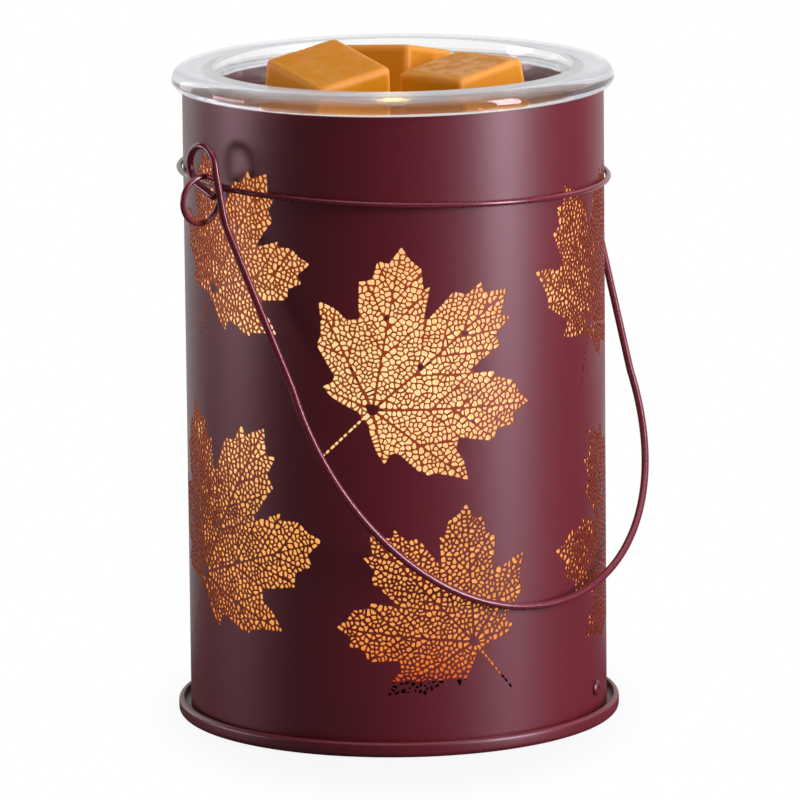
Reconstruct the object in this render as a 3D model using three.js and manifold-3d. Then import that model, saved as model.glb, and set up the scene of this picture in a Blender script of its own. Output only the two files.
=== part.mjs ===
// Wax-warming lantern: a pierced steel drum on a pan, a reflector bulb inside it,
// a glass dish of wax cubes on top and a wire bail hung in the eyes of a hoop.
// Millimetres. +Z is up, the origin is on the floor at the middle of the pan,
// X runs through the two eyes and the bail rests against the -Y side.
// Turns round the drum are degrees from -Y toward +X.
import * as THREE from 'three';
import { mergeVertices } from 'three/addons/utils/BufferGeometryUtils.js';
import Module from 'manifold-3d';

const wasm = await Module();
wasm.setup();

// Overall sizes, and what stands out past the drum or hangs below its top
const drumRadius = 54.5;
const drumWall = 0.5;
const dishTop = 170.6;
const dishOverhang = 2.7;
const trayOverhang = 3.2;
const trayRimTop = 4.2;
const platformTop = 19.4;
const hoopDrop = 22.3;
const eyeDrop = 0.9;
const eyeOverhang = 7.9;

// Clearances shared by all pieces
const fitGap = 0.3;
const cutOverrun = 3;
const leafCutOverrun = 8;
const weldTolerance = 0.0001;

// Facets round a turning
const drumFacets = 40;
const dishFacets = 40;
const mediumFacets = 24;
const smallFacets = 16;
const wireFacets = 8;
const thinWireFacets = 6;

// Feet, tray and what stands on it
const footRadius = 4.5;
const footHeight = 1;
const footInset = 5.7;
const trayFloor = 1.2;
const trayRimWall = 1.5;
const trayRimFoot = 0.2;
const platformSheet = 1;

// Glass dish
const flangeHeight = 5.2;
const flangeShoulder = 3.3;
const flangeUnderRound = 1.9;
const wellRimWidth = 7.7;
const wellDraft = 2.7;
const wellFloorThickness = 4;
const wellWall = 3.2;
const wellDepth = 25.8;
const wellFillet = 4;
const wellLip = 0.9;
const dishSeat = 0.2;

// Diffuser sleeve inside the drum
const linerThickness = 0.5;
const linerTopGap = 11;

// Hoop wire and its eyes
const hoopWireRadius = 0.73;
const eyeRadius = 6.1;
const eyeStrandStep = 1.9;
const hoopTilt = 1.77;
const hoopHighTurn = -125;
const hoopEndGap = 0.5;

// Bail
const bailWireRadius = 0.97;
const bailRingRadius = 5.3;
const bailRingLift = 2.5;
const bailRingInset = 1.2;
const bailTailTurn = 314;
const bailTail = 6.5;
const bailBend = 14.1;
const bailSkew = 4.6;
const bailShoulderInset = 0.2;
const bailReachShare = 0.8417;
const bailLegShare = 0.506;
const bailRoundPower = 2.05;

// Lampholder and its bracket
const bracketSheet = 1.2;
const bracketWidth = 16;
const bracketHeight = 24.8;
const bracketBack = 17;
const bracketFront = 13;
const holderRadius = 14;
const holderHeight = 20;
const holderCapHeight = 12;
const holderEdge = 0.9;
const pinCircle = 5;
const pinHeadRadius = 2.4;
const pinHeadHeight = 3;
const pinNeckRadius = 1.5;
const pinLength = 7.5;
const pinTurn = 20;
const slotCornerShare = 0.55;
const contactThickness = 1;

// Reflector bulb
const bulbBaseRadius = 8.3;
const bulbBaseHeight = 13;
const bulbNeckRadius = 12.2;
const bulbNeckHeight = 7;
const reflectorRadius = 25;
const reflectorHeight = 28;
const reflectorWall = 1.3;
const reflectorFloor = 2;
const frontGlassThickness = 1.6;
const capsuleRadius = 4;
const capsuleHeight = 18;

// Fasteners
const boltRadius = 2;
const boltHeadRadius = 6;
const boltHeadHeight = 0.8;
const boltTail = 1;
const nutAcross = 7;
const nutHeight = 3.2;
const holderScrewCircle = 11.2;
const holderScrewRadius = 1.25;
const holderScrewHeadRadius = 2.2;
const holderScrewHeadHeight = 1.6;
const holderScrewGrip = 6;
const rivetRadius = 1.2;
const rivetHeadRadius = 2.1;
const rivetTailRadius = 1.8;
const rivetHeadHeight = 0.9;
const rivetHeight = 9;

// Wiring inside the drum
const blockLength = 22;
const blockDepth = 12;
const blockHeight = 9;
const blockY = 24;
const blockScrewRadius = 1.5;
const blockScrewSpread = 5.5;
const leadRadius = 1.1;
const leadSpread = 4;
const leadEntryY = 11.3;
const leadHoleRadius = 1.9;
const bushingHeight = 10;
const bushingNeckRadius = 3.7;
const bushingBore = 2.2;
const bushingFlangeRadius = 5.4;
const bushingFlange = 1.6;
const bushingTail = 6.5;
const bushingNutThickness = 2.2;
const ventRadius = 3;
const ventCircle = 38;

// Wax cubes, as shares of the well's radius
const cubeTopShare = 0.4968;
const cubeFootShare = 0.54;
const cubeHeightShare = 0.54;
const cubeEdgeShare = 0.0346;

const trayBottom = footHeight;
const trayTop = trayBottom + trayFloor;
const drumTop = dishTop - flangeHeight - dishSeat;
const drumInside = drumRadius - drumWall;
const trayRadius = drumRadius + trayOverhang;
const footCircle = trayRadius - trayRimWall - footInset - footRadius;
const dishRadius = drumRadius + dishOverhang;
const wellRadius = drumInside - wellRimWidth;
const wellFloorRadius = wellRadius - wellDraft;
const hoopHeight = drumTop - hoopDrop;
const eyeHeight = hoopHeight - eyeDrop;
const eyeReach = drumRadius + eyeOverhang;
const hingeHeight = eyeHeight + eyeRadius;
const bailReach = hingeHeight * bailReachShare;
const bailLegEnd = bailReach * bailLegShare;
const bailShoulderWidth = drumRadius - bailShoulderInset;
const bailRingReach = eyeReach - bailRingInset;
const holderBottom = platformTop + bracketHeight;
const holderTop = holderBottom + holderHeight;
const holderCapBottom = holderTop - holderCapHeight;
const bulbBottom = holderTop + fitGap;
const wellFloor = dishTop - wellDepth;

const radians = THREE.MathUtils.degToRad;

const finish = {
  drum: { color: 0x5a1626, roughness: 0.42, metalness: 0.35 },
  wire: { color: 0x6b2233, roughness: 0.38, metalness: 0.35 },
  glass: { color: 0xe8eef0, roughness: 0.05, metalness: 0, transparent: true, opacity: 0.4 },
  wax: { color: 0xd98a1c, roughness: 0.45, metalness: 0 },
  liner: { color: 0xffdf9a, roughness: 0.8, metalness: 0 },
  steel: { color: 0xb9bcc0, roughness: 0.35, metalness: 0.9 },
  brass: { color: 0xc9a24a, roughness: 0.3, metalness: 0.9 },
  ceramic: { color: 0xf0ece2, roughness: 0.5, metalness: 0 },
  mirror: { color: 0xdfe3e8, roughness: 0.12, metalness: 1 },
  rubber: { color: 0x2a2a2c, roughness: 0.85, metalness: 0 },
  plastic: { color: 0xe6e3da, roughness: 0.55, metalness: 0 },
  sleeve: { color: 0xd9d2c0, roughness: 0.7, metalness: 0 },
};

// Position-only closed mesh with its faces turned outward
function closed(geometry) {
  const bare = geometry.clone();
  for (const name of Object.keys(bare.attributes)) {
    if (name !== 'position') bare.deleteAttribute(name);
  }
  const solid = mergeVertices(bare, weldTolerance);
  const place = solid.attributes.position;
  const corners = solid.index.array;
  const kept = [];
  const a = new THREE.Vector3();
  const b = new THREE.Vector3();
  const c = new THREE.Vector3();
  let volume = 0;
  for (let i = 0; i < corners.length; i += 3) {
    const [p, q, r] = [corners[i], corners[i + 1], corners[i + 2]];
    if (p === q || q === r || r === p) continue;
    a.fromBufferAttribute(place, p);
    b.fromBufferAttribute(place, q);
    c.fromBufferAttribute(place, r);
    volume += a.dot(b.cross(c));
    kept.push(p, q, r);
  }
  if (volume < 0) {
    for (let i = 0; i < kept.length; i += 3) {
      [kept[i], kept[i + 1]] = [kept[i + 1], kept[i]];
    }
  }
  solid.setIndex(kept);
  return solid;
}

function toSolid(geometry) {
  const mesh = closed(geometry);
  return new wasm.Manifold(new wasm.Mesh({
    numProp: 3,
    vertProperties: new Float32Array(mesh.attributes.position.array),
    triVerts: new Uint32Array(mesh.index.array),
  }));
}

function fromSolid(solid) {
  const mesh = solid.getMesh();
  const geometry = new THREE.BufferGeometry();
  geometry.setAttribute('position', new THREE.BufferAttribute(mesh.vertProperties, 3));
  geometry.setIndex(new THREE.BufferAttribute(mesh.triVerts, 1));
  return geometry;
}

function cutAway(geometry, cutters) {
  let solid = toSolid(geometry);
  for (const cutter of cutters) solid = solid.subtract(toSolid(cutter));
  return fromSolid(solid);
}

// A turning about Z from [radius, height] points
function turned(profile, facets) {
  const points = profile.map(([radius, height]) => new THREE.Vector2(radius, height));
  return closed(new THREE.LatheGeometry(points, facets).rotateX(Math.PI / 2));
}

function rod(radius, bottom, top, facets = smallFacets) {
  return turned([[0, bottom], [radius, bottom], [radius, top], [0, top]], facets);
}

function ring(inner, outer, bottom, top, facets) {
  return turned([[inner, bottom], [outer, bottom], [outer, top], [inner, top], [inner, bottom]], facets);
}

function arcProfile(centreR, centreZ, radius, from, to, steps) {
  return Array.from({ length: steps + 1 }, (unused, i) => {
    const angle = radians(from + (to - from) * i / steps);
    return [centreR + radius * Math.cos(angle), centreZ + radius * Math.sin(angle)];
  });
}

function box(x0, x1, y0, y1, z0, z1) {
  return new THREE.BoxGeometry(x1 - x0, y1 - y0, z1 - z0)
    .translate((x0 + x1) / 2, (y0 + y1) / 2, (z0 + z1) / 2);
}

// A path that gives its own points one by one, so that bends keep their finer steps
class WirePath extends THREE.Curve {
  constructor(points) {
    super();
    this.points = points;
  }

  getPoint(t, target = new THREE.Vector3()) {
    const along = t * (this.points.length - 1);
    const i = Math.min(Math.floor(along), this.points.length - 2);
    return target.lerpVectors(this.points[i], this.points[i + 1], along - i);
  }

  getUtoTmapping(u) {
    return u;
  }

  getTangent(t, target = new THREE.Vector3()) {
    const i = Math.round(t * (this.points.length - 1));
    const ahead = this.points[Math.min(i + 1, this.points.length - 1)];
    const behind = this.points[Math.max(i - 1, 0)];
    return target.subVectors(ahead, behind).normalize();
  }
}

function wire(points, radius, facets) {
  const section = new THREE.Shape(Array.from({ length: facets }, (unused, i) => {
    const angle = 2 * Math.PI * i / facets;
    return new THREE.Vector2(radius * Math.cos(angle), radius * Math.sin(angle));
  }));
  const path = new WirePath(points);
  const steps = points.length - 1;
  return closed(new THREE.ExtrudeGeometry(section, { steps, extrudePath: path }));
}

// A point on the drum's turn, at a radius and height
function onTurn(degrees, radius, height) {
  const turn = radians(degrees);
  return new THREE.Vector3(radius * Math.sin(turn), -radius * Math.cos(turn), height);
}

// A geometry made along -Y, carried round the drum
function carriedRound(geometry, degrees) {
  return geometry.rotateZ(radians(degrees));
}

// Leaf openings: the outline of half a leaf as degrees from its axis and shares
// of its radius. Each row is one opening between two of the main veins.
const leafOpeningShares = [
  [[0, 1.0], [8, 0.87], [15, 0.81], [20, 0.57], [29, 0.765], [40, 0.895]],
  [[40, 0.895], [55, 0.71], [59, 0.51], [67, 0.57], [77, 0.65]],
  [[77, 0.65], [92, 0.455], [98, 0.27], [118, 0.3], [146, 0.13]],
];
const leafVeinHalf = 0.55;
const leafRadiusShare = 0.4953;
const leafRadius = Math.sqrt(drumRadius * drumTop) * leafRadiusShare;

// Each leaf's turn round the drum, the rise of its junction as a share of the drum's
// top, the lean of its axis and its size; a size below zero is a leaf seen from its
// other face
const leafShares = [
  { turn: -97.5, rise: 0.7107, lean: 56, size: 0.83 },
  { turn: -44.85, rise: 0.546, lean: 39.5, size: 1 },
  { turn: 27.5, rise: 0.6435, lean: 68, size: 0.93 },
  { turn: 104, rise: 0.6053, lean: 50, size: 0.95 },
  { turn: 196, rise: 0.678, lean: 122, size: -0.88 },
  { turn: -104.3, rise: 0.2524, lean: 58, size: 1.06 },
  { turn: -17.6, rise: 0.1755, lean: 133, size: -0.85 },
  { turn: 57, rise: 0.2149, lean: 123, size: 1.1 },
  { turn: 112, rise: 0.2179, lean: 58, size: 1 },
  { turn: 204, rise: 0.1998, lean: 128, size: -0.95 },
];

function polar(degrees, length) {
  return new THREE.Vector2(length * Math.cos(radians(degrees)), length * Math.sin(radians(degrees)));
}

// Draws a polygon in from its edges, each by its own distance
function insetPolygon(points, insets) {
  const lines = points.map((from, i) => {
    const to = points[(i + 1) % points.length];
    const way = to.clone().sub(from).normalize();
    const inward = new THREE.Vector2(-way.y, way.x);
    return { start: from.clone().addScaledVector(inward, insets[i]), way };
  });
  return lines.map((line, i) => {
    const before = lines[(i + lines.length - 1) % lines.length];
    const gap = line.start.clone().sub(before.start);
    const along = gap.cross(line.way) / before.way.cross(line.way);
    return before.start.clone().addScaledVector(before.way, along);
  });
}

function leafOpenings() {
  const openings = [];
  for (const side of [1, -1]) {
    for (const row of leafOpeningShares) {
      const rim = row.map(([degrees, share]) => polar(degrees, share * leafRadius));
      const points = [new THREE.Vector2(0, 0), ...rim];
      const insets = [leafVeinHalf, ...rim.slice(1).map(() => 0), leafVeinHalf];
      const opening = insetPolygon(points, insets);
      openings.push(opening.map((point) => new THREE.Vector2(point.x, side * point.y)));
    }
  }
  return openings;
}

// Splits the long edges of an outline, so that each step turns by two facets at most
function inShortSteps(outline) {
  const longest = 2 * 2 * Math.PI * drumRadius / drumFacets;
  return outline.flatMap((from, i) => {
    const to = outline[(i + 1) % outline.length];
    const steps = Math.ceil(from.distanceTo(to) / longest);
    return Array.from({ length: steps }, (unused, k) => from.clone().lerp(to, k / steps));
  });
}

// A prism with radial sides that runs right through the drum wall
function throughWall(outline, cornerList, faceList) {
  const rings = [drumInside - cutOverrun, drumRadius + leafCutOverrun];
  const base = cornerList.length / 3;
  const count = outline.length;
  for (const radius of rings) {
    for (const point of outline) {
      const corner = onTurn(THREE.MathUtils.radToDeg(point.x / drumRadius), radius, point.y);
      cornerList.push(corner.x, corner.y, corner.z);
    }
  }
  for (const [i, j, k] of THREE.ShapeUtils.triangulateShape(outline, [])) {
    faceList.push(base + k, base + j, base + i);
    faceList.push(base + count + i, base + count + j, base + count + k);
  }
  for (let i = 0; i < count; i += 1) {
    const j = (i + 1) % count;
    faceList.push(base + i, base + j, base + count + j);
    faceList.push(base + i, base + count + j, base + count + i);
  }
}

// One cutter for each leaf, which opens all of its bays
function leafCutter(leaf) {
  const corners = [];
  const faces = [];
  const size = Math.abs(leaf.size);
  const face = Math.sign(leaf.size);
  for (const opening of leafOpenings()) {
    const outline = opening.map((point) => new THREE.Vector2(point.x, face * point.y)
      .multiplyScalar(size)
      .rotateAround(new THREE.Vector2(0, 0), radians(leaf.lean))
      .add(new THREE.Vector2(radians(leaf.turn) * drumRadius, leaf.rise * drumTop)));
    if (THREE.ShapeUtils.isClockWise(outline)) outline.reverse();
    throughWall(inShortSteps(outline), corners, faces);
  }
  const geometry = new THREE.BufferGeometry();
  geometry.setAttribute('position', new THREE.Float32BufferAttribute(corners, 3));
  geometry.setIndex(faces);
  return geometry;
}

const rivetTurns = [31.5, 211.5];
const bushingTurn = 180;

// A radial bore through the drum wall and the platform's skirt
function radialBore(radius, degrees, height) {
  const reach = drumWall + fitGap + platformSheet;
  const bore = rod(radius, -reach - cutOverrun, cutOverrun).rotateX(Math.PI / 2);
  return carriedRound(bore.translate(0, -drumRadius, height), degrees);
}

function wallBores() {
  return [
    ...rivetTurns.map((turn) => radialBore(rivetRadius + fitGap, turn, rivetHeight)),
    radialBore(bushingNeckRadius + fitGap, bushingTurn, bushingHeight),
  ];
}

function drumWallPiece() {
  const wall = ring(drumInside, drumRadius, trayTop, drumTop, drumFacets);
  return cutAway(wall, [...wallBores(), ...leafShares.map(leafCutter)]);
}

function baseTray() {
  const inner = trayRadius - trayRimWall;
  const roll = trayRimWall / 2;
  const profile = [
    [0, trayBottom],
    [inner, trayBottom],
    ...arcProfile(trayRadius - roll, trayRimFoot + roll, roll, 180, 360, 4),
    ...arcProfile(trayRadius - roll, trayRimTop - roll, roll, 0, 180, 4),
    [inner, trayTop],
    [0, trayTop],
  ];
  return cutAway(turned(profile, drumFacets), [
    rod(boltRadius + fitGap, -cutOverrun, trayTop + cutOverrun),
  ]);
}

function footPad(degrees) {
  const place = onTurn(degrees, footCircle, 0);
  return rod(footRadius, 0, footHeight).translate(place.x, place.y, 0);
}

function lampPlatform() {
  const outer = drumInside - fitGap;
  const underside = platformTop - platformSheet;
  const profile = [
    [0, underside],
    [outer - platformSheet, underside],
    [outer - platformSheet, trayTop],
    [outer, trayTop],
    [outer, platformTop],
    [0, platformTop],
  ];
  const holes = [rod(boltRadius + fitGap, 0, platformTop + cutOverrun)];
  for (const side of [-1, 1]) {
    holes.push(rod(leadHoleRadius, underside - cutOverrun, platformTop + cutOverrun)
      .translate(side * leadSpread, blockY, 0));
  }
  for (const turn of [-135, -90, -45, 0, 45, 90]) {
    const place = onTurn(turn, ventCircle, 0);
    holes.push(rod(ventRadius, underside - cutOverrun, platformTop + cutOverrun, wireFacets)
      .translate(place.x, place.y, 0));
  }
  return cutAway(turned(profile, drumFacets), [...holes, ...wallBores()]);
}

function wallRivet(degrees) {
  const tail = drumWall + fitGap + platformSheet;
  const tailEnd = tail + rivetHeadHeight;
  const profile = [
    [0, rivetHeadHeight + fitGap],
    [rivetHeadRadius / 2, rivetHeadHeight],
    [rivetHeadRadius, fitGap],
    [rivetRadius, fitGap],
    [rivetRadius, -tail - fitGap],
    [rivetTailRadius, -tail - fitGap],
    [rivetTailRadius, -tailEnd],
    [0, -tailEnd],
  ];
  const rivet = turned(profile, smallFacets).rotateX(Math.PI / 2);
  return carriedRound(rivet.translate(0, -drumRadius, rivetHeight), degrees);
}

function diffuserLiner() {
  const outer = drumInside - fitGap;
  return ring(outer - linerThickness, outer, platformTop, drumTop - linerTopGap, drumFacets);
}

function holderBracket() {
  const top = bracketHeight;
  const sheet = bracketSheet;
  const outline = new THREE.Shape([
    [-bracketBack, 0],
    [bracketFront, 0],
    [bracketFront, sheet],
    [-bracketBack + sheet, sheet],
    [-bracketBack + sheet, top - sheet],
    [bracketFront, top - sheet],
    [bracketFront, top],
    [-bracketBack, top],
  ].map(([x, z]) => new THREE.Vector2(x, z)));
  const strap = new THREE.ExtrudeGeometry(outline, { depth: bracketWidth, bevelEnabled: false })
    .rotateX(Math.PI / 2)
    .translate(0, bracketWidth / 2, platformTop);
  const bolt = rod(boltRadius + fitGap, platformTop - cutOverrun, platformTop + sheet + cutOverrun);
  const screws = [-1, 1].map((side) => rod(
    holderScrewRadius + fitGap,
    holderBottom - sheet - cutOverrun,
    holderBottom + cutOverrun,
  ).translate(side * holderScrewCircle, 0, 0));
  return cutAway(strap, [bolt, ...screws]);
}

function baseBolt() {
  const top = platformTop + bracketSheet + nutHeight + boltTail;
  return turned([
    [0, trayBottom - boltHeadHeight],
    [boltHeadRadius, trayBottom - boltHeadHeight],
    [boltHeadRadius, trayBottom],
    [boltRadius, trayBottom],
    [boltRadius, top],
    [0, top],
  ], smallFacets);
}

function baseNut() {
  const bottom = platformTop + bracketSheet;
  const hexFacets = 6;
  const body = rod(nutAcross / Math.sqrt(3), bottom, bottom + nutHeight, hexFacets);
  const bore = rod(boltRadius + fitGap / 2, bottom - cutOverrun, bottom + nutHeight + cutOverrun);
  return cutAway(body, [bore]);
}

// A slot with cut corners, as long as a pin needs to pass along its part of the pin circle
function pinSlot(halfWidth, bottom, height) {
  const turn = radians(pinTurn);
  const [left, right] = [-pinCircle * Math.sin(turn) - halfWidth, halfWidth];
  const [near, far] = [pinCircle * Math.cos(turn) - halfWidth, pinCircle + halfWidth];
  const corner = slotCornerShare * halfWidth;
  const outline = new THREE.Shape([
    [left + corner, near], [right - corner, near], [right, near + corner], [right, far - corner],
    [right - corner, far], [left + corner, far], [left, far - corner], [left, near + corner],
  ].map(([x, y]) => new THREE.Vector2(x, y)));
  return new THREE.ExtrudeGeometry(outline, { depth: height, bevelEnabled: false })
    .translate(0, 0, bottom);
}

const slotDepth = pinLength + contactThickness;
const slotHalf = pinHeadRadius + fitGap;

// The ceramic cap that takes the bulb's pins
function holderBody() {
  const block = turned([
    [0, holderCapBottom],
    [holderRadius, holderCapBottom],
    [holderRadius, holderTop - holderEdge],
    [holderRadius - holderEdge, holderTop],
    [0, holderTop],
  ], smallFacets);
  const slots = [0, Math.PI].map((turn) => (
    pinSlot(slotHalf, holderTop - slotDepth, slotDepth + cutOverrun).rotateZ(turn)));
  return cutAway(block, slots);
}

// The ceramic base under the cap, with a blind bore for each screw
function holderBase() {
  const block = rod(holderRadius, holderBottom, holderCapBottom, smallFacets);
  const screws = [-1, 1].map((side) => rod(
    holderScrewRadius + fitGap,
    holderBottom - cutOverrun,
    holderBottom + holderScrewGrip + fitGap,
    wireFacets,
  ).translate(side * holderScrewCircle, 0, 0));
  return cutAway(block, screws);
}

// A screw up through the bracket into the holder's base
function holderScrew(side) {
  const seat = holderBottom - bracketSheet;
  return turned([
    [0, seat - holderScrewHeadHeight],
    [holderScrewHeadRadius / 2, seat - holderScrewHeadHeight],
    [holderScrewHeadRadius, seat - holderScrewHeadHeight / 2],
    [holderScrewHeadRadius, seat],
    [holderScrewRadius, seat],
    [holderScrewRadius, holderBottom + holderScrewGrip],
    [0, holderBottom + holderScrewGrip],
  ], smallFacets).translate(side * holderScrewCircle, 0, 0);
}

function contactPlate(turn) {
  const plate = pinSlot(slotHalf - fitGap, holderTop - slotDepth, contactThickness - fitGap);
  return closed(plate.rotateZ(turn));
}

function terminalBlock() {
  const body = box(
    -blockLength / 2, blockLength / 2,
    blockY - blockDepth / 2, blockY + blockDepth / 2,
    trayTop, trayTop + blockHeight,
  );
  const bores = [-1, 1].map((side) => rod(
    blockScrewRadius + fitGap,
    trayTop + blockHeight / 2,
    trayTop + blockHeight + cutOverrun,
  ).translate(side * blockScrewSpread, blockY - blockDepth / 4, 0));
  return cutAway(body, bores);
}

function terminalScrew(side) {
  const bottom = trayTop + blockHeight / 2;
  return rod(blockScrewRadius, bottom, trayTop + blockHeight - fitGap)
    .translate(side * blockScrewSpread, blockY - blockDepth / 4, 0);
}

// A sleeved lead from the terminal block up to the underside of the lampholder
function lead(side) {
  const bottom = trayTop + blockHeight + fitGap;
  const rise = holderBottom - platformTop;
  const curve = new THREE.CatmullRomCurve3([
    [blockY, bottom],
    [blockY, platformTop],
    [blockY, platformTop + rise / 4],
    [(blockY + leadEntryY) / 2, platformTop + rise / 2],
    [leadEntryY, holderBottom - rise / 4],
    [leadEntryY, holderBottom - fitGap],
  ].map(([y, z]) => new THREE.Vector3(side * leadSpread, y, z)));
  const leadSteps = 12;
  return wire(curve.getPoints(leadSteps), leadRadius, thinWireFacets);
}

// The cord's bushing: a flange outside the wall, a neck through it and a nut inside
function cordBushing() {
  const inside = drumWall + fitGap + platformSheet + bushingTail;
  const profile = [
    [bushingBore, fitGap + bushingFlange],
    [bushingFlangeRadius - bushingFlange / 2, fitGap + bushingFlange],
    [bushingFlangeRadius, fitGap + bushingFlange / 2],
    [bushingFlangeRadius, fitGap],
    [bushingNeckRadius, fitGap],
    [bushingNeckRadius, -inside],
    [bushingBore, -inside],
    [bushingBore, fitGap + bushingFlange],
  ];
  const bushing = turned(profile, smallFacets).rotateX(Math.PI / 2);
  return carriedRound(bushing.translate(0, -drumRadius, bushingHeight), bushingTurn);
}

function bushingNut() {
  const skirtInside = drumInside - fitGap - platformSheet;
  const across = bushingFlangeRadius - fitGap;
  const sagitta = skirtInside - Math.sqrt(skirtInside ** 2 - across ** 2);
  const face = drumRadius - skirtInside + sagitta + fitGap;
  const nut = ring(
    bushingNeckRadius + fitGap / 2, across,
    -face - bushingNutThickness, -face, smallFacets,
  ).rotateX(Math.PI / 2);
  return carriedRound(nut.translate(0, -drumRadius, bushingHeight), bushingTurn);
}

const hoopRadius = drumRadius + fitGap + hoopWireRadius;

function hoopLevel(degrees) {
  return hoopHeight + hoopTilt * Math.cos(radians(degrees - hoopHighTurn));
}

// One eye: a full loop of the wire in the plane of X and Z. side is 1 at +X and
// -1 at -X; the strand comes in on the side of Y that enter names.
function eyeLoop(side, enter) {
  const level = hoopLevel(side * 90) - eyeHeight;
  const first = Math.asin(level / eyeRadius);
  const loopSteps = 18;
  return Array.from({ length: loopSteps + 1 }, (unused, i) => {
    const angle = first + 2 * Math.PI * i / loopSteps;
    const y = enter * eyeStrandStep * (0.5 - i / loopSteps);
    return new THREE.Vector3(
      side * (eyeReach - eyeRadius * Math.cos(angle)), y, eyeHeight + eyeRadius * Math.sin(angle));
  });
}

function hoopArc(from, to, steps) {
  return Array.from({ length: steps + 1 }, (unused, i) => {
    const turn = from + (to - from) * i / steps;
    return onTurn(turn, hoopRadius, hoopLevel(turn));
  });
}

function hoopWire() {
  const eyeHalfTurn = 6;
  const endTurn = THREE.MathUtils.radToDeg(hoopEndGap / hoopRadius);
  const backSteps = 14;
  const frontSteps = 28;
  const points = [
    ...hoopArc(180 - endTurn, 90 + eyeHalfTurn, backSteps),
    ...eyeLoop(1, 1),
    ...hoopArc(90 - eyeHalfTurn, -90 + eyeHalfTurn, frontSteps),
    ...eyeLoop(-1, -1),
    ...hoopArc(-90 - eyeHalfTurn, -180 + endTurn, backSteps),
  ];
  return wire(points, hoopWireRadius, thinWireFacets);
}

// The bail lies in a plane through the hinge line. along is the way down that
// plane and out the way square to it, toward -Y.
const bailLean = Math.asin((drumRadius + fitGap + bailWireRadius) / bailReach);

function bailPoint(x, along, out) {
  return new THREE.Vector3(
    x,
    -along * Math.sin(bailLean) - out * Math.cos(bailLean),
    hingeHeight - along * Math.cos(bailLean) + out * Math.sin(bailLean),
  );
}

// One side, from the cut end of its ring: a straight tail, the ring round the eye's
// wire, a short slant out of the ring and the leg. The leg at +X is the longer one.
function bailSide(side) {
  const leave = Math.acos(bailRingRadius / (bailBend + bailRingLift));
  const tail = radians(bailTailTurn);
  const ringPoint = (angle, beyond = 0) => bailPoint(
    side * bailRingReach,
    bailRingRadius * Math.cos(angle) - bailRingLift - beyond * Math.sin(angle),
    bailRingRadius * Math.sin(angle) + beyond * Math.cos(angle),
  );
  const ringSteps = 14;
  const points = [ringPoint(tail, bailTail), ringPoint(tail, bailTail / 2)];
  for (let i = 0; i <= ringSteps; i += 1) {
    points.push(ringPoint(tail + (leave - tail) * i / ringSteps));
  }
  const ringEnd = bailRingRadius * Math.cos(leave) - bailRingLift;
  const ringOut = bailRingRadius * Math.sin(leave);
  const slantSteps = 3;
  for (let i = 1; i <= slantSteps; i += 1) {
    const share = i / slantSteps;
    const along = ringEnd + (bailBend - ringEnd) * share;
    const onLeg = Math.max(along, 0) / bailLegEnd;
    points.push(bailPoint(
      side * (bailRingReach + (bailShoulderWidth - bailRingReach) * onLeg),
      along + side * bailSkew * onLeg,
      ringOut * (1 - share),
    ));
  }
  const legSteps = 5;
  for (let i = 1; i <= legSteps; i += 1) {
    const along = bailBend + (bailLegEnd - bailBend) * i / legSteps;
    const onLeg = along / bailLegEnd;
    points.push(bailPoint(
      side * (bailRingReach + (bailShoulderWidth - bailRingReach) * onLeg),
      along + side * bailSkew * onLeg,
      0,
    ));
  }
  return points;
}

function bailHandle() {
  const roundSteps = 28;
  const curve = [];
  for (let i = 1; i < roundSteps; i += 1) {
    const turn = Math.PI * i / roundSteps;
    const power = 2 / bailRoundPower;
    const x = -Math.sign(Math.cos(turn)) * bailShoulderWidth * Math.abs(Math.cos(turn)) ** power;
    const along = bailLegEnd + (bailReach - bailLegEnd) * Math.sin(turn) ** power;
    curve.push(bailPoint(x, along + bailSkew * x / bailShoulderWidth, 0));
  }
  return wire([...bailSide(-1), ...curve, ...bailSide(1).reverse()], bailWireRadius, wireFacets);
}

function glassDish() {
  const widest = dishTop - flangeShoulder;
  const underside = dishTop - flangeHeight;
  const bottom = wellFloor - wellFloorThickness;
  const profile = [
    [0, bottom],
    ...arcProfile(wellFloorRadius + wellWall - wellFillet, bottom + wellFillet, wellFillet, -90, 0, 2),
    [wellRadius + wellWall, underside],
    ...arcProfile(dishRadius - flangeUnderRound, underside + flangeUnderRound, flangeUnderRound, -90, 0, 2),
    ...arcProfile(dishRadius - flangeShoulder, widest, flangeShoulder, 0, 90, 4),
    ...arcProfile(wellRadius + wellLip, dishTop - wellLip, wellLip, 90, 180, 2),
    ...arcProfile(wellFloorRadius - wellFillet, wellFloor + wellFillet, wellFillet, 0, -90, 3),
    [0, wellFloor],
  ];
  return turned(profile, dishFacets);
}

// Place of each cube's foot, its turn about Z and its tilts about X and Y in degrees
const cubeTopSide = wellRadius * cubeTopShare;
const cubeFootSide = wellRadius * cubeFootShare;
const cubeHeight = wellRadius * cubeHeightShare;
const cubeEdgeRound = wellRadius * cubeEdgeShare;
const cubePlaceShares = {
  left: { x: -0.4456, y: 0.046, rise: 0.191, spin: 2.1, tiltX: 14.7, tiltY: -8.4 },
  rear: { x: 0.1235, y: 0.1823, rise: 0.1285, spin: 21.6, tiltX: -8, tiltY: 9 },
  right: { x: 0.2315, y: -0.408, rise: 0.0815, spin: 6.2, tiltX: 0, tiltY: -8.8 },
};

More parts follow.
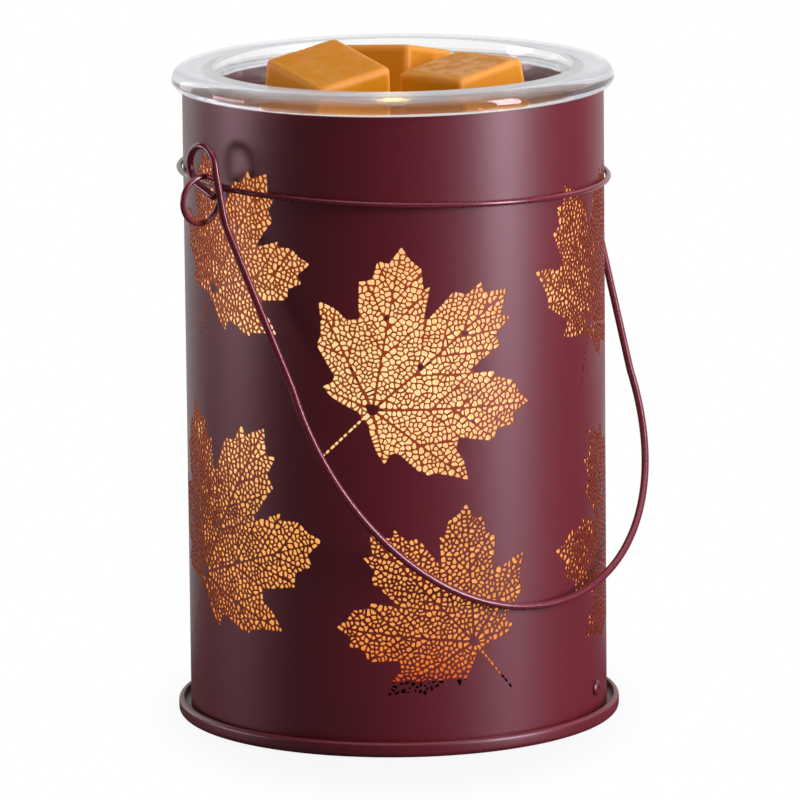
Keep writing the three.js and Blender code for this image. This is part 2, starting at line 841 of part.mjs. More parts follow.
function waxCube(shares) {
  const round = cubeEdgeRound;
  const roundSteps = 2;
  const level = (side, height) => {
    const half = side / 2 - round;
    const corners = [[1, 1], [-1, 1], [-1, -1], [1, -1]];
    return corners.flatMap(([sx, sy], quarter) => Array.from({ length: roundSteps + 1 }, (unused, i) => {
      const angle = Math.PI / 2 * (quarter + i / roundSteps);
      return [half * sx, half * sy, Math.cos(angle), Math.sin(angle), height];
    }));
  };
  const levels = [];
  for (let i = 0; i <= roundSteps; i += 1) {
    const angle = Math.PI / 2 * i / roundSteps;
    levels.push([cubeFootSide, round * (1 - Math.cos(angle)), round * Math.sin(angle)]);
  }
  for (let i = roundSteps; i >= 0; i -= 1) {
    const angle = Math.PI / 2 * i / roundSteps;
    levels.push([cubeTopSide, cubeHeight - round * (1 - Math.cos(angle)), round * Math.sin(angle)]);
  }
  const corners = [];
  const faces = [];
  const perRing = 4 * (roundSteps + 1);
  for (const [side, height, reach] of levels) {
    for (const [x, y, c, s] of level(side, height)) corners.push(x + reach * c, y + reach * s, height);
  }
  for (let r = 0; r < levels.length - 1; r += 1) {
    for (let i = 0; i < perRing; i += 1) {
      const j = (i + 1) % perRing;
      const [a, b] = [r * perRing + i, r * perRing + j];
      faces.push(a, b, b + perRing, a, b + perRing, a + perRing);
    }
  }
  const last = (levels.length - 1) * perRing;
  for (let i = 1; i < perRing - 1; i += 1) {
    faces.push(0, i + 1, i, last, last + i, last + i + 1);
  }
  const geometry = new THREE.BufferGeometry();
  geometry.setAttribute('position', new THREE.Float32BufferAttribute(corners, 3));
  geometry.setIndex(faces);
  const turn = new THREE.Euler(radians(shares.tiltX), radians(shares.tiltY), radians(shares.spin));
  return closed(geometry)
    .applyMatrix4(new THREE.Matrix4().makeRotationFromEuler(turn))
    .translate(
      shares.x * wellRadius, shares.y * wellRadius, wellFloor + fitGap + shares.rise * cubeHeight);
}

function bulbBase() {
  const shoulder = bulbBottom + bulbBaseHeight;
  const top = shoulder + bulbNeckHeight;
  return turned([
    [0, bulbBottom],
    [bulbBaseRadius, bulbBottom],
    [bulbBaseRadius, shoulder],
    [bulbNeckRadius, top],
    [0, top],
  ], mediumFacets);
}

function reflectorBowl() {
  const bottom = bulbBottom + bulbBaseHeight + bulbNeckHeight;
  const steps = 4;
  const outside = Array.from({ length: steps + 1 }, (unused, i) => {
    const share = i / steps;
    const radius = bulbNeckRadius + (reflectorRadius - bulbNeckRadius) * Math.sqrt(share);
    return [radius, bottom + reflectorHeight * share];
  });
  const inside = outside.slice(1).reverse().map(([radius, height]) => [radius - reflectorWall, height]);
  return turned([
    [0, bottom],
    ...outside,
    ...inside,
    [bulbNeckRadius - reflectorWall, bottom + reflectorFloor],
    [0, bottom + reflectorFloor],
  ], mediumFacets);
}

function frontGlass() {
  const bottom = bulbBottom + bulbBaseHeight + bulbNeckHeight + reflectorHeight;
  return turned([
    [0, bottom],
    [reflectorRadius, bottom],
    [reflectorRadius, bottom + frontGlassThickness / 2],
    [reflectorRadius - frontGlassThickness / 2, bottom + frontGlassThickness],
    [0, bottom + frontGlassThickness],
  ], mediumFacets);
}

function lampCapsule() {
  const bottom = bulbBottom + bulbBaseHeight + bulbNeckHeight + reflectorFloor;
  return turned([
    [0, bottom],
    [capsuleRadius, bottom],
    ...arcProfile(0, bottom + capsuleHeight - capsuleRadius, capsuleRadius, 0, 90, 4),
  ], smallFacets);
}

function bulbPin(side) {
  const tip = bulbBottom - pinLength + fitGap;
  return turned([
    [0, tip],
    [pinHeadRadius, tip],
    [pinHeadRadius, tip + pinHeadHeight],
    [pinNeckRadius, tip + pinHeadHeight],
    [pinNeckRadius, bulbBottom],
    [0, bulbBottom],
  ], smallFacets).translate(0, side * pinCircle, 0);
}

function piece(name, geometry, look) {
  const shaded = geometry.toNonIndexed();
  shaded.computeVertexNormals();
  const mesh = new THREE.Mesh(shaded, new THREE.MeshStandardMaterial(finish[look]));
  mesh.name = name;
  return mesh;
}

const housing = new THREE.Group();
housing.add(
  piece('drum_wall', drumWallPiece(), 'drum'),
  piece('base_tray', baseTray(), 'drum'),
  piece('lamp_platform', lampPlatform(), 'drum'),
  piece('diffuser_liner', diffuserLiner(), 'liner'),
  piece('hoop_wire', hoopWire(), 'wire'),
  piece('holder_bracket', holderBracket(), 'steel'),
  piece('base_bolt', baseBolt(), 'steel'),
  piece('base_nut', baseNut(), 'steel'),
  piece('holder_body', holderBody(), 'ceramic'),
  piece('holder_base', holderBase(), 'ceramic'),
  piece('contact_live', contactPlate(0), 'brass'),
  piece('contact_neutral', contactPlate(Math.PI), 'brass'),
  piece('terminal_block', terminalBlock(), 'plastic'),
  piece('cord_bushing', cordBushing(), 'rubber'),
  piece('bushing_nut', bushingNut(), 'steel'),
);
[45, 135, 225, 315].forEach((turn, i) => {
  housing.add(piece(`foot_pad_${i + 1}`, footPad(turn), 'rubber'));
});
rivetTurns.forEach((turn, i) => {
  housing.add(piece(`wall_rivet_${i + 1}`, wallRivet(turn), 'drum'));
});
[-1, 1].forEach((side, i) => {
  housing.add(piece(`holder_screw_${i + 1}`, holderScrew(side), 'steel'));
  housing.add(piece(`terminal_screw_${i + 1}`, terminalScrew(side), 'brass'));
});
housing.add(
  piece('lead_live', lead(-1), 'sleeve'),
  piece('lead_neutral', lead(1), 'sleeve'),
);

const bail = new THREE.Group();
bail.add(piece('bail_handle', bailHandle(), 'wire'));

const dish = new THREE.Group();
dish.add(piece('glass_dish', glassDish(), 'glass'));
for (const [name, shares] of Object.entries(cubePlaceShares)) {
  dish.add(piece(`wax_cube_${name}`, waxCube(shares), 'wax'));
}

const bulb = new THREE.Group();
bulb.add(
  piece('bulb_base', bulbBase(), 'ceramic'),
  piece('bulb_reflector', reflectorBowl(), 'mirror'),
  piece('bulb_front_glass', frontGlass(), 'glass'),
  piece('bulb_capsule', lampCapsule(), 'glass'),
);
[-1, 1].forEach((side, i) => {
  bulb.add(piece(`bulb_pin_${i + 1}`, bulbPin(side), 'steel'));
});

const lantern = new THREE.Group();
lantern.add(housing, bail, dish, bulb);

export default lantern;
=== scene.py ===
import math
import random

import bmesh
import bpy
import numpy as np
from mathutils import Matrix, Vector
from mathutils.geometry import delaunay_2d_cdt


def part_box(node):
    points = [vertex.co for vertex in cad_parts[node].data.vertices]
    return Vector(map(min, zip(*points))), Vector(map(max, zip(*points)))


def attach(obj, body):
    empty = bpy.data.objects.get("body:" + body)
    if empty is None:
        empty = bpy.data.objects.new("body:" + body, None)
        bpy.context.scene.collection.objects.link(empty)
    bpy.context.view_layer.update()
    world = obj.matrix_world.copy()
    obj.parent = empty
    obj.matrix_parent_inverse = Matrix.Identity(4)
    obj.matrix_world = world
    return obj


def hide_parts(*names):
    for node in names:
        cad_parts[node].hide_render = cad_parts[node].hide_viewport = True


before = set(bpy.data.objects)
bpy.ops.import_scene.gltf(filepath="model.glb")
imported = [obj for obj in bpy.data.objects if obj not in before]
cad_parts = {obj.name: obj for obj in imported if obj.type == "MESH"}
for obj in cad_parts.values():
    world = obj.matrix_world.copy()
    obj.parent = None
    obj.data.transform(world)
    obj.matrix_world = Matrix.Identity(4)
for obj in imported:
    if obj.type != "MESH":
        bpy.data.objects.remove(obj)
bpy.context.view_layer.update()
mm = 0.001


# Camera
# A long lens at the lamp's front left, looking slightly down on it, so that the
# near eye of the hoop stands at the left and the bail hangs across the front.
camera_lens = bpy.data.cameras.new("camera")
camera_lens.lens = 344.43
camera_lens.clip_end = 30
camera = bpy.data.objects.new("camera", camera_lens)
camera_place = (-1.2182, -1.5315, 0.4648)
camera_heading, camera_dip, camera_roll = -38.53, 11.064, -0.579
camera.matrix_world = (
    Matrix.Translation(camera_place)
    @ Matrix.Rotation(math.radians(camera_heading), 4, "Z")
    @ Matrix.Rotation(math.radians(90 - camera_dip), 4, "X")
    @ Matrix.Rotation(math.radians(camera_roll), 4, "Z")
)
bpy.context.scene.collection.objects.link(camera)
bpy.context.scene.camera = camera
bpy.context.scene.view_settings.view_transform = "Standard"


# Studio
# A pale floor and a white room behind the lamp. A tall soft lamp stands to the right of
# the camera, weak ones at the right rear, the left rear and the left, a wide one overhead.
def plain_look(name):
    """A new material, and the tree of its shader nodes"""
    look = bpy.data.materials.new(name)
    look.use_nodes = True
    return look, look.node_tree


def feed(tree, shader, sockets):
    """Gives a shader node's sockets a value each, or links them to another node's output"""
    for socket, value in sockets.items():
        if isinstance(value, bpy.types.NodeSocket):
            tree.links.new(value, shader.inputs[socket])
        else:
            shader.inputs[socket].default_value = value
    return shader


def node(tree, kind, sockets=None, **settings):
    """A new shader node with its settings and what feeds its sockets"""
    shader = tree.nodes.new(f"ShaderNode{kind}")
    for setting, value in settings.items():
        setattr(shader, setting, value)
    return feed(tree, shader, sockets or {})


def ranged(tree, value, low, high, least=0.0, most=1.0, course="LINEAR"):
    """A value that rises from least to most while another goes from low to high"""
    ends = {"Value": value, "From Min": low, "From Max": high, "To Min": least, "To Max": most}
    return node(tree, "MapRange", ends, interpolation_type=course).outputs["Result"]


def combined(tree, operation, first, second):
    """One number from two, such as their product or the larger of them"""
    return node(tree, "Math", {0: first, 1: second}, operation=operation).outputs[0]


def projected(tree, place, way):
    """How far a place lies, or a direction points, along a way"""
    return node(tree, "VectorMath", {0: place, 1: way}, operation="DOT_PRODUCT").outputs["Value"]


def length_of(tree, vector):
    """How long a vector is"""
    return node(tree, "VectorMath", {0: vector}, operation="LENGTH").outputs["Value"]


def mixed(tree, share, first, second, kind="RGBA"):
    """Two colours, or with kind FLOAT two numbers, mixed by a share of the second"""
    return node(tree, "Mix", {"Factor": share, "A": first, "B": second}, data_type=kind).outputs["Result"]


toward_camera = Vector((-0.6225, -0.7826, 0))
right_of_camera = Vector((0.7826, -0.6225, 0))
rear_starts, rear_full = 0.45, 0.95
drum_middle = 0.085

floor_half = 6
floor_mesh = bpy.data.meshes.new("floor")
floor_mesh.from_pydata(
    [(x * floor_half, y * floor_half, 0) for x, y in ((-1, -1), (1, -1), (1, 1), (-1, 1))],
    [], [(0, 1, 2, 3)])
floor = bpy.data.objects.new("floor", floor_mesh)
bpy.context.scene.collection.objects.link(floor)
floor_look, tree = plain_look("floor_white")
tree.nodes.clear()
place = node(tree, "TexCoord").outputs["Object"]
ray = node(tree, "LightPath").outputs

# The floor is pale to the eye, and darker where it throws light up at the lamp
floor_tone = mixed(tree, ray["Is Camera Ray"], (0.1, 0.105, 0.12, 1), (0.44, 0.46, 0.52, 1))
floor_paint = node(tree, "BsdfDiffuse", {"Color": floor_tone})
floor_white = node(tree, "Emission", {"Color": (1, 1, 1, 1), "Strength": 1.0})

# Inside an oval round the lamp it is less white, a painted soft shadow, and there its paint shows the
# lamp's real shadow faintly; it shows white in gloss mostly toward the rear
oval_heading, oval_stretch, oval_inner, oval_outer = -38.5, 1.6, 0.044, 0.074
oval = node(tree, "Mapping", {
    "Vector": place, "Rotation": (0, 0, math.radians(oval_heading)), "Scale": (1, oval_stretch, 1),
}, vector_type="TEXTURE")
# Painted soft shadow: the white share falls to nine tenths inside the oval
outside_painted_shadow = ranged(
    tree, length_of(tree, oval.outputs["Vector"]), oval_inner, oval_outer, 0.9, 1.0, "SMOOTHSTEP")
way = node(tree, "VectorMath", {0: place}, operation="NORMALIZE").outputs["Vector"]
rearward = ranged(
    tree, projected(tree, way, -toward_camera), rear_starts, rear_full, 0.03, 0.85, "SMOOTHSTEP")
seen = combined(tree, "MAXIMUM", ray["Is Camera Ray"], ray["Is Transmission Ray"])
mirrored = combined(tree, "MULTIPLY", ray["Is Glossy Ray"], rearward)
white_share = combined(tree, "MULTIPLY", combined(tree, "MAXIMUM", seen, mirrored), outside_painted_shadow)
floor_mix = node(tree, "MixShader", {
    0: white_share, 1: floor_paint.outputs[0], 2: floor_white.outputs[0]})
node(tree, "OutputMaterial", {"Surface": floor_mix.outputs[0]})
floor_mesh.materials.append(floor_look)


def soft_lamp(name, bearing, rise, distance, width, height, watts, colour=(1, 1, 1)):
    """A rectangular lamp at a bearing right of the camera, turned to the drum's middle"""
    around = math.radians(bearing)
    up = math.radians(rise)
    level = toward_camera * math.cos(around) + right_of_camera * math.sin(around)
    target = Vector((0, 0, drum_middle))
    light = bpy.data.lights.new(name, "AREA")
    light.shape = "RECTANGLE"
    light.size, light.size_y = width, height
    light.energy = watts
    light.color = colour
    lamp = bpy.data.objects.new(name, light)
    lamp.location = target + (level * math.cos(up) + Vector((0, 0, 1)) * math.sin(up)) * distance
    lamp.rotation_euler = (target - lamp.location).to_track_quat("-Z", "Y").to_euler()
    bpy.context.scene.collection.objects.link(lamp)


# Bearing and rise in degrees, distance, width and height in metres, watts and colour
soft_lamp("right_softbox", 61, 14, 1.3, 0.33, 1.1, 25, (0.95, 0.84, 1.0))
soft_lamp("right_fill", 118, 30, 1.3, 0.6, 0.8, 3, (1.0, 0.6, 0.68))
soft_lamp("left_softbox", -135, 14, 1.4, 0.4, 1.1, 3)
soft_lamp("left_fill", -93, 0, 1.2, 0.5, 0.5, 6.5, (1.0, 0.68, 0.8))
soft_lamp("top_softbox", 20, 80, 1.5, 1.4, 1.4, 9)

# The room is pale to the eye and through glass, and in gloss only toward the rear
room = bpy.data.worlds.new("room")
bpy.context.scene.world = room
room.use_nodes = True
tree = room.node_tree
tree.nodes.clear()
behind = projected(tree, node(tree, "TexCoord").outputs["Generated"], -toward_camera)
ray = node(tree, "LightPath").outputs
in_gloss = ranged(tree, behind, rear_starts, rear_full, 0.04, 1.0, "SMOOTHSTEP")
through_glass = ranged(tree, behind, -0.2, 0.5, 0.9, 1.0, "SMOOTHSTEP")
level = mixed(tree, ray["Is Glossy Ray"], 0.03, in_gloss, "FLOAT")
level = mixed(tree, ray["Is Transmission Ray"], level, through_glass, "FLOAT")
level = mixed(tree, ray["Is Camera Ray"], level, 1.0, "FLOAT")
room_light = node(tree, "Background", {"Strength": level})
node(tree, "OutputWorld", {"Surface": room_light.outputs[0]})


# Base tray
# The drum stands in a shallow pressed-steel pan with a rolled rim, powder coated
# in the same burgundy. The bolt at its middle clamps the pan, platform and bracket.
def tone(red, green, blue):
    """A display colour, 0 to 255, as the linear colour that a shader takes"""
    shares = (channel / 255 for channel in (red, green, blue))
    return tuple(s / 12.92 if s <= 0.04045 else ((s + 0.055) / 1.055) ** 2.4 for s in shares) + (1.0,)


speck_low, speck_high, grain_depth = 0.3, 0.7, 0.1


def graded(name, light, dark, patch, grain, gloss, relief, **finish):
    """A material in two tones that drift into each other, with a grain in its gloss and relief.
    patch and grain are the sizes of the drift and the grain in millimetres."""
    look, tree = plain_look(name)
    place = node(tree, "TexCoord").outputs["Object"]
    drift = node(tree, "TexNoise", {"Vector": place, "Scale": 1 / (patch * mm), "Detail": 4})
    speck = node(tree, "TexNoise", {"Vector": place, "Scale": 1 / (grain * mm), "Detail": 2})
    bump = node(tree, "Bump", {
        "Height": speck.outputs["Fac"], "Strength": relief, "Distance": grain_depth * mm})
    feed(tree, tree.nodes["Principled BSDF"], {
        "Base Color": mixed(tree, drift.outputs["Fac"], dark, light),
        "Roughness": ranged(tree, speck.outputs["Fac"], speck_low, speck_high, *gloss),
        "Normal": bump.outputs["Normal"],
    })
    feed(tree, tree.nodes["Principled BSDF"], {
        socket.replace("_", " "): value for socket, value in finish.items()})
    return look


def eased(corners, step=12):
    """A profile whose corners are rounded: each corner is (radius, height) or (radius, height, round)"""
    line = []
    for i, corner in enumerate(corners):
        here = np.array(corner[:2], float)
        if len(corner) < 3 or i in (0, len(corners) - 1):
            line.append(tuple(here))
            continue
        back = np.array(corners[i - 1][:2], float) - here
        ahead = np.array(corners[i + 1][:2], float) - here
        back, ahead = back / np.linalg.norm(back), ahead / np.linalg.norm(ahead)
        half = math.acos(max(-1, min(1, back @ ahead))) / 2
        middle = here + (back + ahead) / np.linalg.norm(back + ahead) * corner[2] / math.sin(half)
        first = here + back * corner[2] / math.tan(half) - middle
        last = here + ahead * corner[2] / math.tan(half) - middle
        turn = math.atan2(first[0] * last[1] - first[1] * last[0], first @ last)
        steps = max(2, round(abs(math.degrees(turn)) / step))
        for k in range(steps + 1):
            c, s = math.cos(turn * k / steps), math.sin(turn * k / steps)
            line.append((
                middle[0] + first[0] * c - first[1] * s, middle[1] + first[0] * s + first[1] * c))
    return line


def turned(line, facets):
    """Corners and faces of a turning about Z, closed on the axis if the line ends there,
    and otherwise a closed ring"""
    corners, faces, rings = [], [], []
    for radius, height in line:
        if radius < 1e-6:
            rings.append([len(corners)])
            corners.append((0, 0, height))
            continue
        rings.append(list(range(len(corners), len(corners) + facets)))
        for k in range(facets):
            turn = 2 * math.pi * k / facets
            corners.append((radius * math.cos(turn), radius * math.sin(turn), height))
    pairs = list(zip(rings, rings[1:]))
    if len(rings[0]) > 1 and len(rings[-1]) > 1:
        pairs.append((rings[-1], rings[0]))
    for below, above in pairs:
        for k in range(facets):
            m = (k + 1) % facets
            if len(below) == 1:
                faces.append((below[0], above[m], above[k]))
            elif len(above) == 1:
                faces.append((below[k], below[m], above[0]))
            else:
                faces.append((below[k], below[m], above[m], above[k]))
    return corners, faces


def made(name, shape, look, body, stands_for=(), crease=35, place=Matrix()):
    """A piece from corners in millimetres and faces, smooth but for edges sharper than crease"""
    corners, faces = shape
    mesh = bpy.data.meshes.new(name)
    mesh.from_pydata([place @ Vector(corner) * mm for corner in corners], [], faces)
    cleaned = bmesh.new()
    cleaned.from_mesh(mesh)
    bmesh.ops.recalc_face_normals(cleaned, faces=cleaned.faces)
    cleaned.to_mesh(mesh)
    cleaned.free()
    mesh.shade_smooth()
    mesh.set_sharp_from_angle(angle=math.radians(crease))
    mesh.materials.append(look)
    piece = bpy.data.objects.new(name, mesh)
    bpy.context.scene.collection.objects.link(piece)
    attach(piece, body)
    if stands_for:
        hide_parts(*stands_for)
    return piece


def on_turn(degrees, radius, height):
    """A point at a turn round the drum, from -Y toward +X"""
    turn = math.radians(degrees)
    return (radius * math.sin(turn), -radius * math.cos(turn), height)


drum_radius, drum_sheet = 54.5, 0.4
drum_bottom, drum_top = 2.2, 165.2
tray_radius, tray_wall, tray_bottom, tray_foot, tray_rim = 57.7, 1.5, 1.0, 0.2, 4.2
burgundy = graded(
    "burgundy_powder_coat", tone(106, 22, 32), tone(96, 19, 29), 30, 0.5, (0.35, 0.45), 0.14,
    Specular_IOR_Level=0.75)
tray_line = eased([
    (0, tray_bottom),
    (tray_radius - tray_wall, tray_bottom, 0.1),
    (tray_radius - tray_wall, tray_foot, 0.1),
    (tray_radius, tray_foot, 1.35),
    (tray_radius, tray_rim, 1.1),
    (tray_radius - tray_wall, tray_rim, 0.35),
    (tray_radius - tray_wall, drum_bottom, 0.2),
    (0, drum_bottom),
])
made("tray_pan", turned(tray_line, 144), burgundy, "housing", ("base_tray",))


# Feet, platform and fixings
# Four rubber pads keep the pan off the table. A steel platform with vent holes
# stands in the drum, and one bolt through both holds the bracket. The platform's dark
# burgundy is painted shade, for the dark inside of the drum seen through the holes.
def painted(look, *names):
    """Gives a look to CAD nodes that are shown as they are"""
    for name in names:
        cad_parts[name].data.materials.clear()
        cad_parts[name].data.materials.append(look)


black_rubber = graded("foot_rubber", tone(44, 44, 46), tone(34, 34, 36), 4, 0.4, (0.75, 0.9), 0.25)
pad_circle, pad_radius, pad_foot_radius, pad_height = 46, 4.5, 4.1, 1.0
pad_line = eased([(0, 0), (pad_foot_radius, 0, 0.3), (pad_radius, pad_height), (0, pad_height)])
for i, turn in enumerate((45, 135, 225, 315)):
    made(f"rubber_foot_{i + 1}", turned(pad_line, 40), black_rubber, "housing",
         (f"foot_pad_{i + 1}",), place=Matrix.Translation(on_turn(turn, pad_circle, 0)))

plated = graded(
    "bright_zinc_plate", tone(196, 198, 202), tone(176, 178, 184), 6, 0.3, (0.24, 0.4), 0.06,
    Metallic=1.0)
# The platform's dark burgundy is painted shade, for the dark inside of the drum seen through the holes
platform_painted_shade = graded(
    "platform_coat_painted_shade", tone(52, 18, 24), tone(44, 15, 20), 20, 0.5, (0.5, 0.6), 0.1,
    Specular_IOR_Level=0.2)
painted(plated, "holder_bracket", "base_nut", "bushing_nut", "base_bolt")
painted(platform_painted_shade, "lamp_platform")


# Lampholder and wiring
# A steatite lampholder screwed to the bracket, with brass contacts, two glass-sleeved
# leads down to a moulded terminal block, and a rubber gland for the cord in the wall.
ceramic = graded("steatite", tone(238, 234, 224), tone(228, 222, 210), 5, 0.3, (0.35, 0.5), 0.1)
brass = graded(
    "contact_brass", tone(206, 170, 92), tone(186, 148, 74), 3, 0.2, (0.22, 0.38), 0.05, Metallic=1.0)
block_nylon = graded(
    "block_nylon", tone(232, 228, 216), tone(220, 215, 202), 6, 0.3, (0.5, 0.6), 0.08)
sleeve = graded(
    "braided_sleeve", tone(220, 212, 194), tone(196, 186, 166), 0.8, 0.25, (0.7, 0.8), 0.4)
painted(ceramic, "holder_body", "holder_base")
painted(plated, "holder_screw_1", "holder_screw_2")
painted(brass, "contact_live", "contact_neutral", "terminal_screw_1", "terminal_screw_2")
painted(block_nylon, "terminal_block")
painted(sleeve, "lead_live", "lead_neutral")
painted(black_rubber, "cord_bushing")


# Drum wall
# One sheet of steel rolled into a drum, cut with ten skeleton leaves and coated in
# burgundy. Each leaf is a net of fine veins between the main ones, over a dotted stem.
leaf_radius = 48

# The right half of a leaf's outline: turn from its axis, and share of the leaf's radius
leaf_rim = [
    (0, 0.97), (3, 0.91), (5.5, 0.86), (8.7, 0.9), (10.3, 0.79), (15.5, 0.77), (16.5, 0.68),
    (19, 0.565), (21, 0.57), (25, 0.73), (27, 0.7), (31, 0.8), (36, 0.83), (40, 0.89), (43.5, 0.79),
    (48, 0.8), (50, 0.7), (56, 0.69), (57.5, 0.57), (58.5, 0.49), (66, 0.5), (70, 0.57), (77, 0.65),
    (81, 0.55), (86, 0.48), (92.5, 0.455), (96, 0.345), (100, 0.27), (107, 0.26), (118, 0.3),
    (125, 0.23), (133, 0.15), (150, 0.08),
]

# Turn round the drum, height of the junction, lean of the axis, size and face of each leaf
leaves = [
    (-97.5, 117.4, 56, 0.83, 1), (-44.85, 90.2, 39.5, 1, 1), (27.5, 106.3, 68, 0.93, 1),
    (104, 100, 50, 0.95, 1), (196, 112, 122, 0.88, -1), (-104.3, 41.7, 58, 1.06, 1),
    (-17.6, 29, 133, 0.85, -1), (57, 35.5, 123, 1.1, 1), (112, 36, 58, 1, 1), (204, 33, 128, 0.95, -1),
]


def on_leaf(degrees, share):
    """A point of a leaf at a turn from its axis and a share of its radius"""
    turn = math.radians(degrees)
    return np.array((math.cos(turn), math.sin(turn))) * share * leaf_radius


leaf_edge = np.array(
    [on_leaf(a, r) for a, r in leaf_rim] + [on_leaf(-a, r) for a, r in reversed(leaf_rim[1:])])

# Each vein runs from a start to an end, with its half width at both
rib_half, small_rib_half, rib_tip_half = 0.34, 0.26, 0.12
branch_half, branch_tip_half, branch_turn = 0.17, 0.1, 40
leaf_veins = []
for lobe, reach, forks in (
    (0, 0.93, (0.3, 0.46, 0.62, 0.76)), (40, 0.84, (0.3, 0.45, 0.6)), (-40, 0.84, (0.3, 0.45, 0.6)),
    (77, 0.6, (0.3, 0.5)), (-77, 0.6, (0.3, 0.5)), (118, 0.27, ()), (-118, 0.27, ()),
):
    leaf_veins.append(
        (np.zeros(2), on_leaf(lobe, reach), rib_half if forks else small_rib_half, rib_tip_half))
    for k, share in enumerate(forks):
        for side in (1, -1):
            start = on_leaf(lobe, share * (1 + 0.04 * side))
            turn = math.radians(lobe + side * (branch_turn - 3 * k))
            length = leaf_radius * (0.34 - 0.3 * abs(share - 0.45)) * (0.8 if abs(lobe) == 77 else 1)
            way = np.array((math.cos(turn), math.sin(turn)))
            leaf_veins.append((start, start + length * way, branch_half, branch_tip_half))


def within(points, edge):
    """Which points lie inside a closed outline"""
    x, y = points.T
    hit = np.zeros(len(points), bool)
    for (ax, ay), (bx, by) in zip(edge, np.roll(edge, -1, 0)):
        if ay != by:
            hit ^= ((ay > y) != (by > y)) & (x < (bx - ax) * (y - ay) / (by - ay) + ax)
    return hit


def nearest(points, start, end):
    """The nearest point of a line to each point, how far along it is, and how far off"""
    way = end - start
    share = np.clip((points - start) @ way / (way @ way), 0, 1)
    foot = start + share[:, None] * way
    return foot, share, np.linalg.norm(points - foot, axis=1)


def cut_back(cell, normal, reach):
    """What is left of a convex cell where point . normal is at most reach"""
    left = []
    for here, ahead in zip(cell, cell[1:] + cell[:1]):
        d = here[0] * normal[0] + here[1] * normal[1] - reach
        e = ahead[0] * normal[0] + ahead[1] * normal[1] - reach
        if d <= 0:
            left.append(here)
        if (d < 0) != (e < 0) and d != e:
            t = d / (d - e)
            left.append((here[0] + (ahead[0] - here[0]) * t, here[1] + (ahead[1] - here[1]) * t))
    return left


# Under this length an edge is left out, and a corner this sharp is cut by a share of its sides
shortest_edge, sharp_share, corner_cut_share = 0.12, 0.35, 0.29


def softened(cell):
    """A cell without its shortest edges and sharpest corners"""
    cell = cell[np.linalg.norm(np.roll(cell, -1, 0) - cell, axis=1) > shortest_edge]
    kept = []
    for before, here, ahead in zip(np.roll(cell, 1, 0), cell, np.roll(cell, -1, 0)):
        back, on = before - here, ahead - here
        back_length, on_length = np.linalg.norm(back), np.linalg.norm(on)
        if back @ on > -sharp_share * back_length * on_length:
            cut = corner_cut_share * min(back_length, on_length)
            kept += [here + back / back_length * cut, here + on / on_length * cut]
        else:
            kept.append(here)
    return np.array(kept)


# What the scattered points keep clear of the edge and the veins, how far a cell reaches, how
# far its neighbours, the veins and the edge can draw it in, and the smallest hole, in area
scattered_points, edge_clear, vein_clear, edge_land = 14000, 0.26, 0.25, 0.04
cell_reach, cell_sides, neighbours, neighbour_reach = 1.25, 8, 13, 3
vein_reach, edge_reach, least_hole, junction_radius = 2, 1.6, 0.15, 1.45
least_room, most_room, least_vein, most_vein = 0.66, 1.4, 0.75, 1.5


def leaf_net(size, spacing, fine, draw):
    """The holes of one leaf: a cell round each scattered point, drawn in from the veins and the edge"""
    edge = leaf_edge * size
    edge_lines = list(zip(edge, np.roll(edge, -1, 0)))
    veins = [(a * size, b * size, thick * math.sqrt(size), thin) for a, b, thick, thin in leaf_veins]
    veins.append((np.zeros(2), np.array((0.01, 0)), junction_radius * size, junction_radius * size))
    low, high = edge.min(0), edge.max(0)
    tries = np.array([
        (draw.uniform(low[0], high[0]), draw.uniform(low[1], high[1])) for i in range(scattered_points)])
    tries = tries[within(tries, edge)]
    clear = np.ones(len(tries), bool)
    for a, b in edge_lines:
        clear &= nearest(tries, a, b)[2] > edge_clear
    for a, b, thick, thin in veins:
        foot, share, gap = nearest(tries, a, b)
        clear &= gap > thick + (thin - thick) * share + vein_clear
    seeds, shelf, widest = [], {}, spacing * most_room
    for x, y in tries[clear]:
        room = spacing * draw.uniform(least_room, most_room)
        i, j = int(x // widest), int(y // widest)
        around = (p for m in (-1, 0, 1) for n in (-1, 0, 1) for p in shelf.get((i + m, j + n), ()))
        if all((x - u) ** 2 + (y - v) ** 2 >= ((room + w) / 2) ** 2 for u, v, w in around):
            shelf.setdefault((i, j), []).append((x, y, room))
            seeds.append((x, y))
    seeds = np.array(seeds)
    by_veins = [nearest(seeds, a, b) + (thick, thin) for a, b, thick, thin in veins]
    by_edge = [nearest(seeds, a, b) for a, b in edge_lines]
    half_widths, cells = {}, []
    for i, seed in enumerate(seeds):
        start = draw.random()
        cell = [tuple(seed + cell_reach * np.array((math.cos(start + a), math.sin(start + a))))
                for a in np.arange(cell_sides) * math.pi * 2 / cell_sides]
        gaps = np.linalg.norm(seeds - seed, axis=1)
        for j in np.argsort(gaps)[1:neighbours + 1]:
            if gaps[j] > neighbour_reach:
                break
            pair = (min(i, j), max(i, j))
            if pair not in half_widths:
                half_widths[pair] = fine * draw.uniform(least_vein, most_vein)
            way = (seeds[j] - seed) / gaps[j]
            cell = cut_back(cell, way, way @ seed + gaps[j] / 2 - half_widths[pair])
        for foot, share, gap, thick, thin in by_veins:
            if gap[i] < vein_reach + thick:
                way = (foot[i] - seed) / gap[i]
                cell = cut_back(cell, way, way @ foot[i] - thick - (thin - thick) * share[i])
        for foot, share, gap in by_edge:
            if gap[i] < edge_reach:
                way = (foot[i] - seed) / gap[i]
                cell = cut_back(cell, way, way @ foot[i] - edge_land)
        if len(cell) < 3:
            continue
        cell = softened(np.array(cell))
        if len(cell) < 3:
            continue
        ahead = np.roll(cell, -1, 0)
        if abs((cell[:, 0] * ahead[:, 1] - ahead[:, 0] * cell[:, 1]).sum()) > 2 * least_hole:
            cells.append(cell)
    return cells


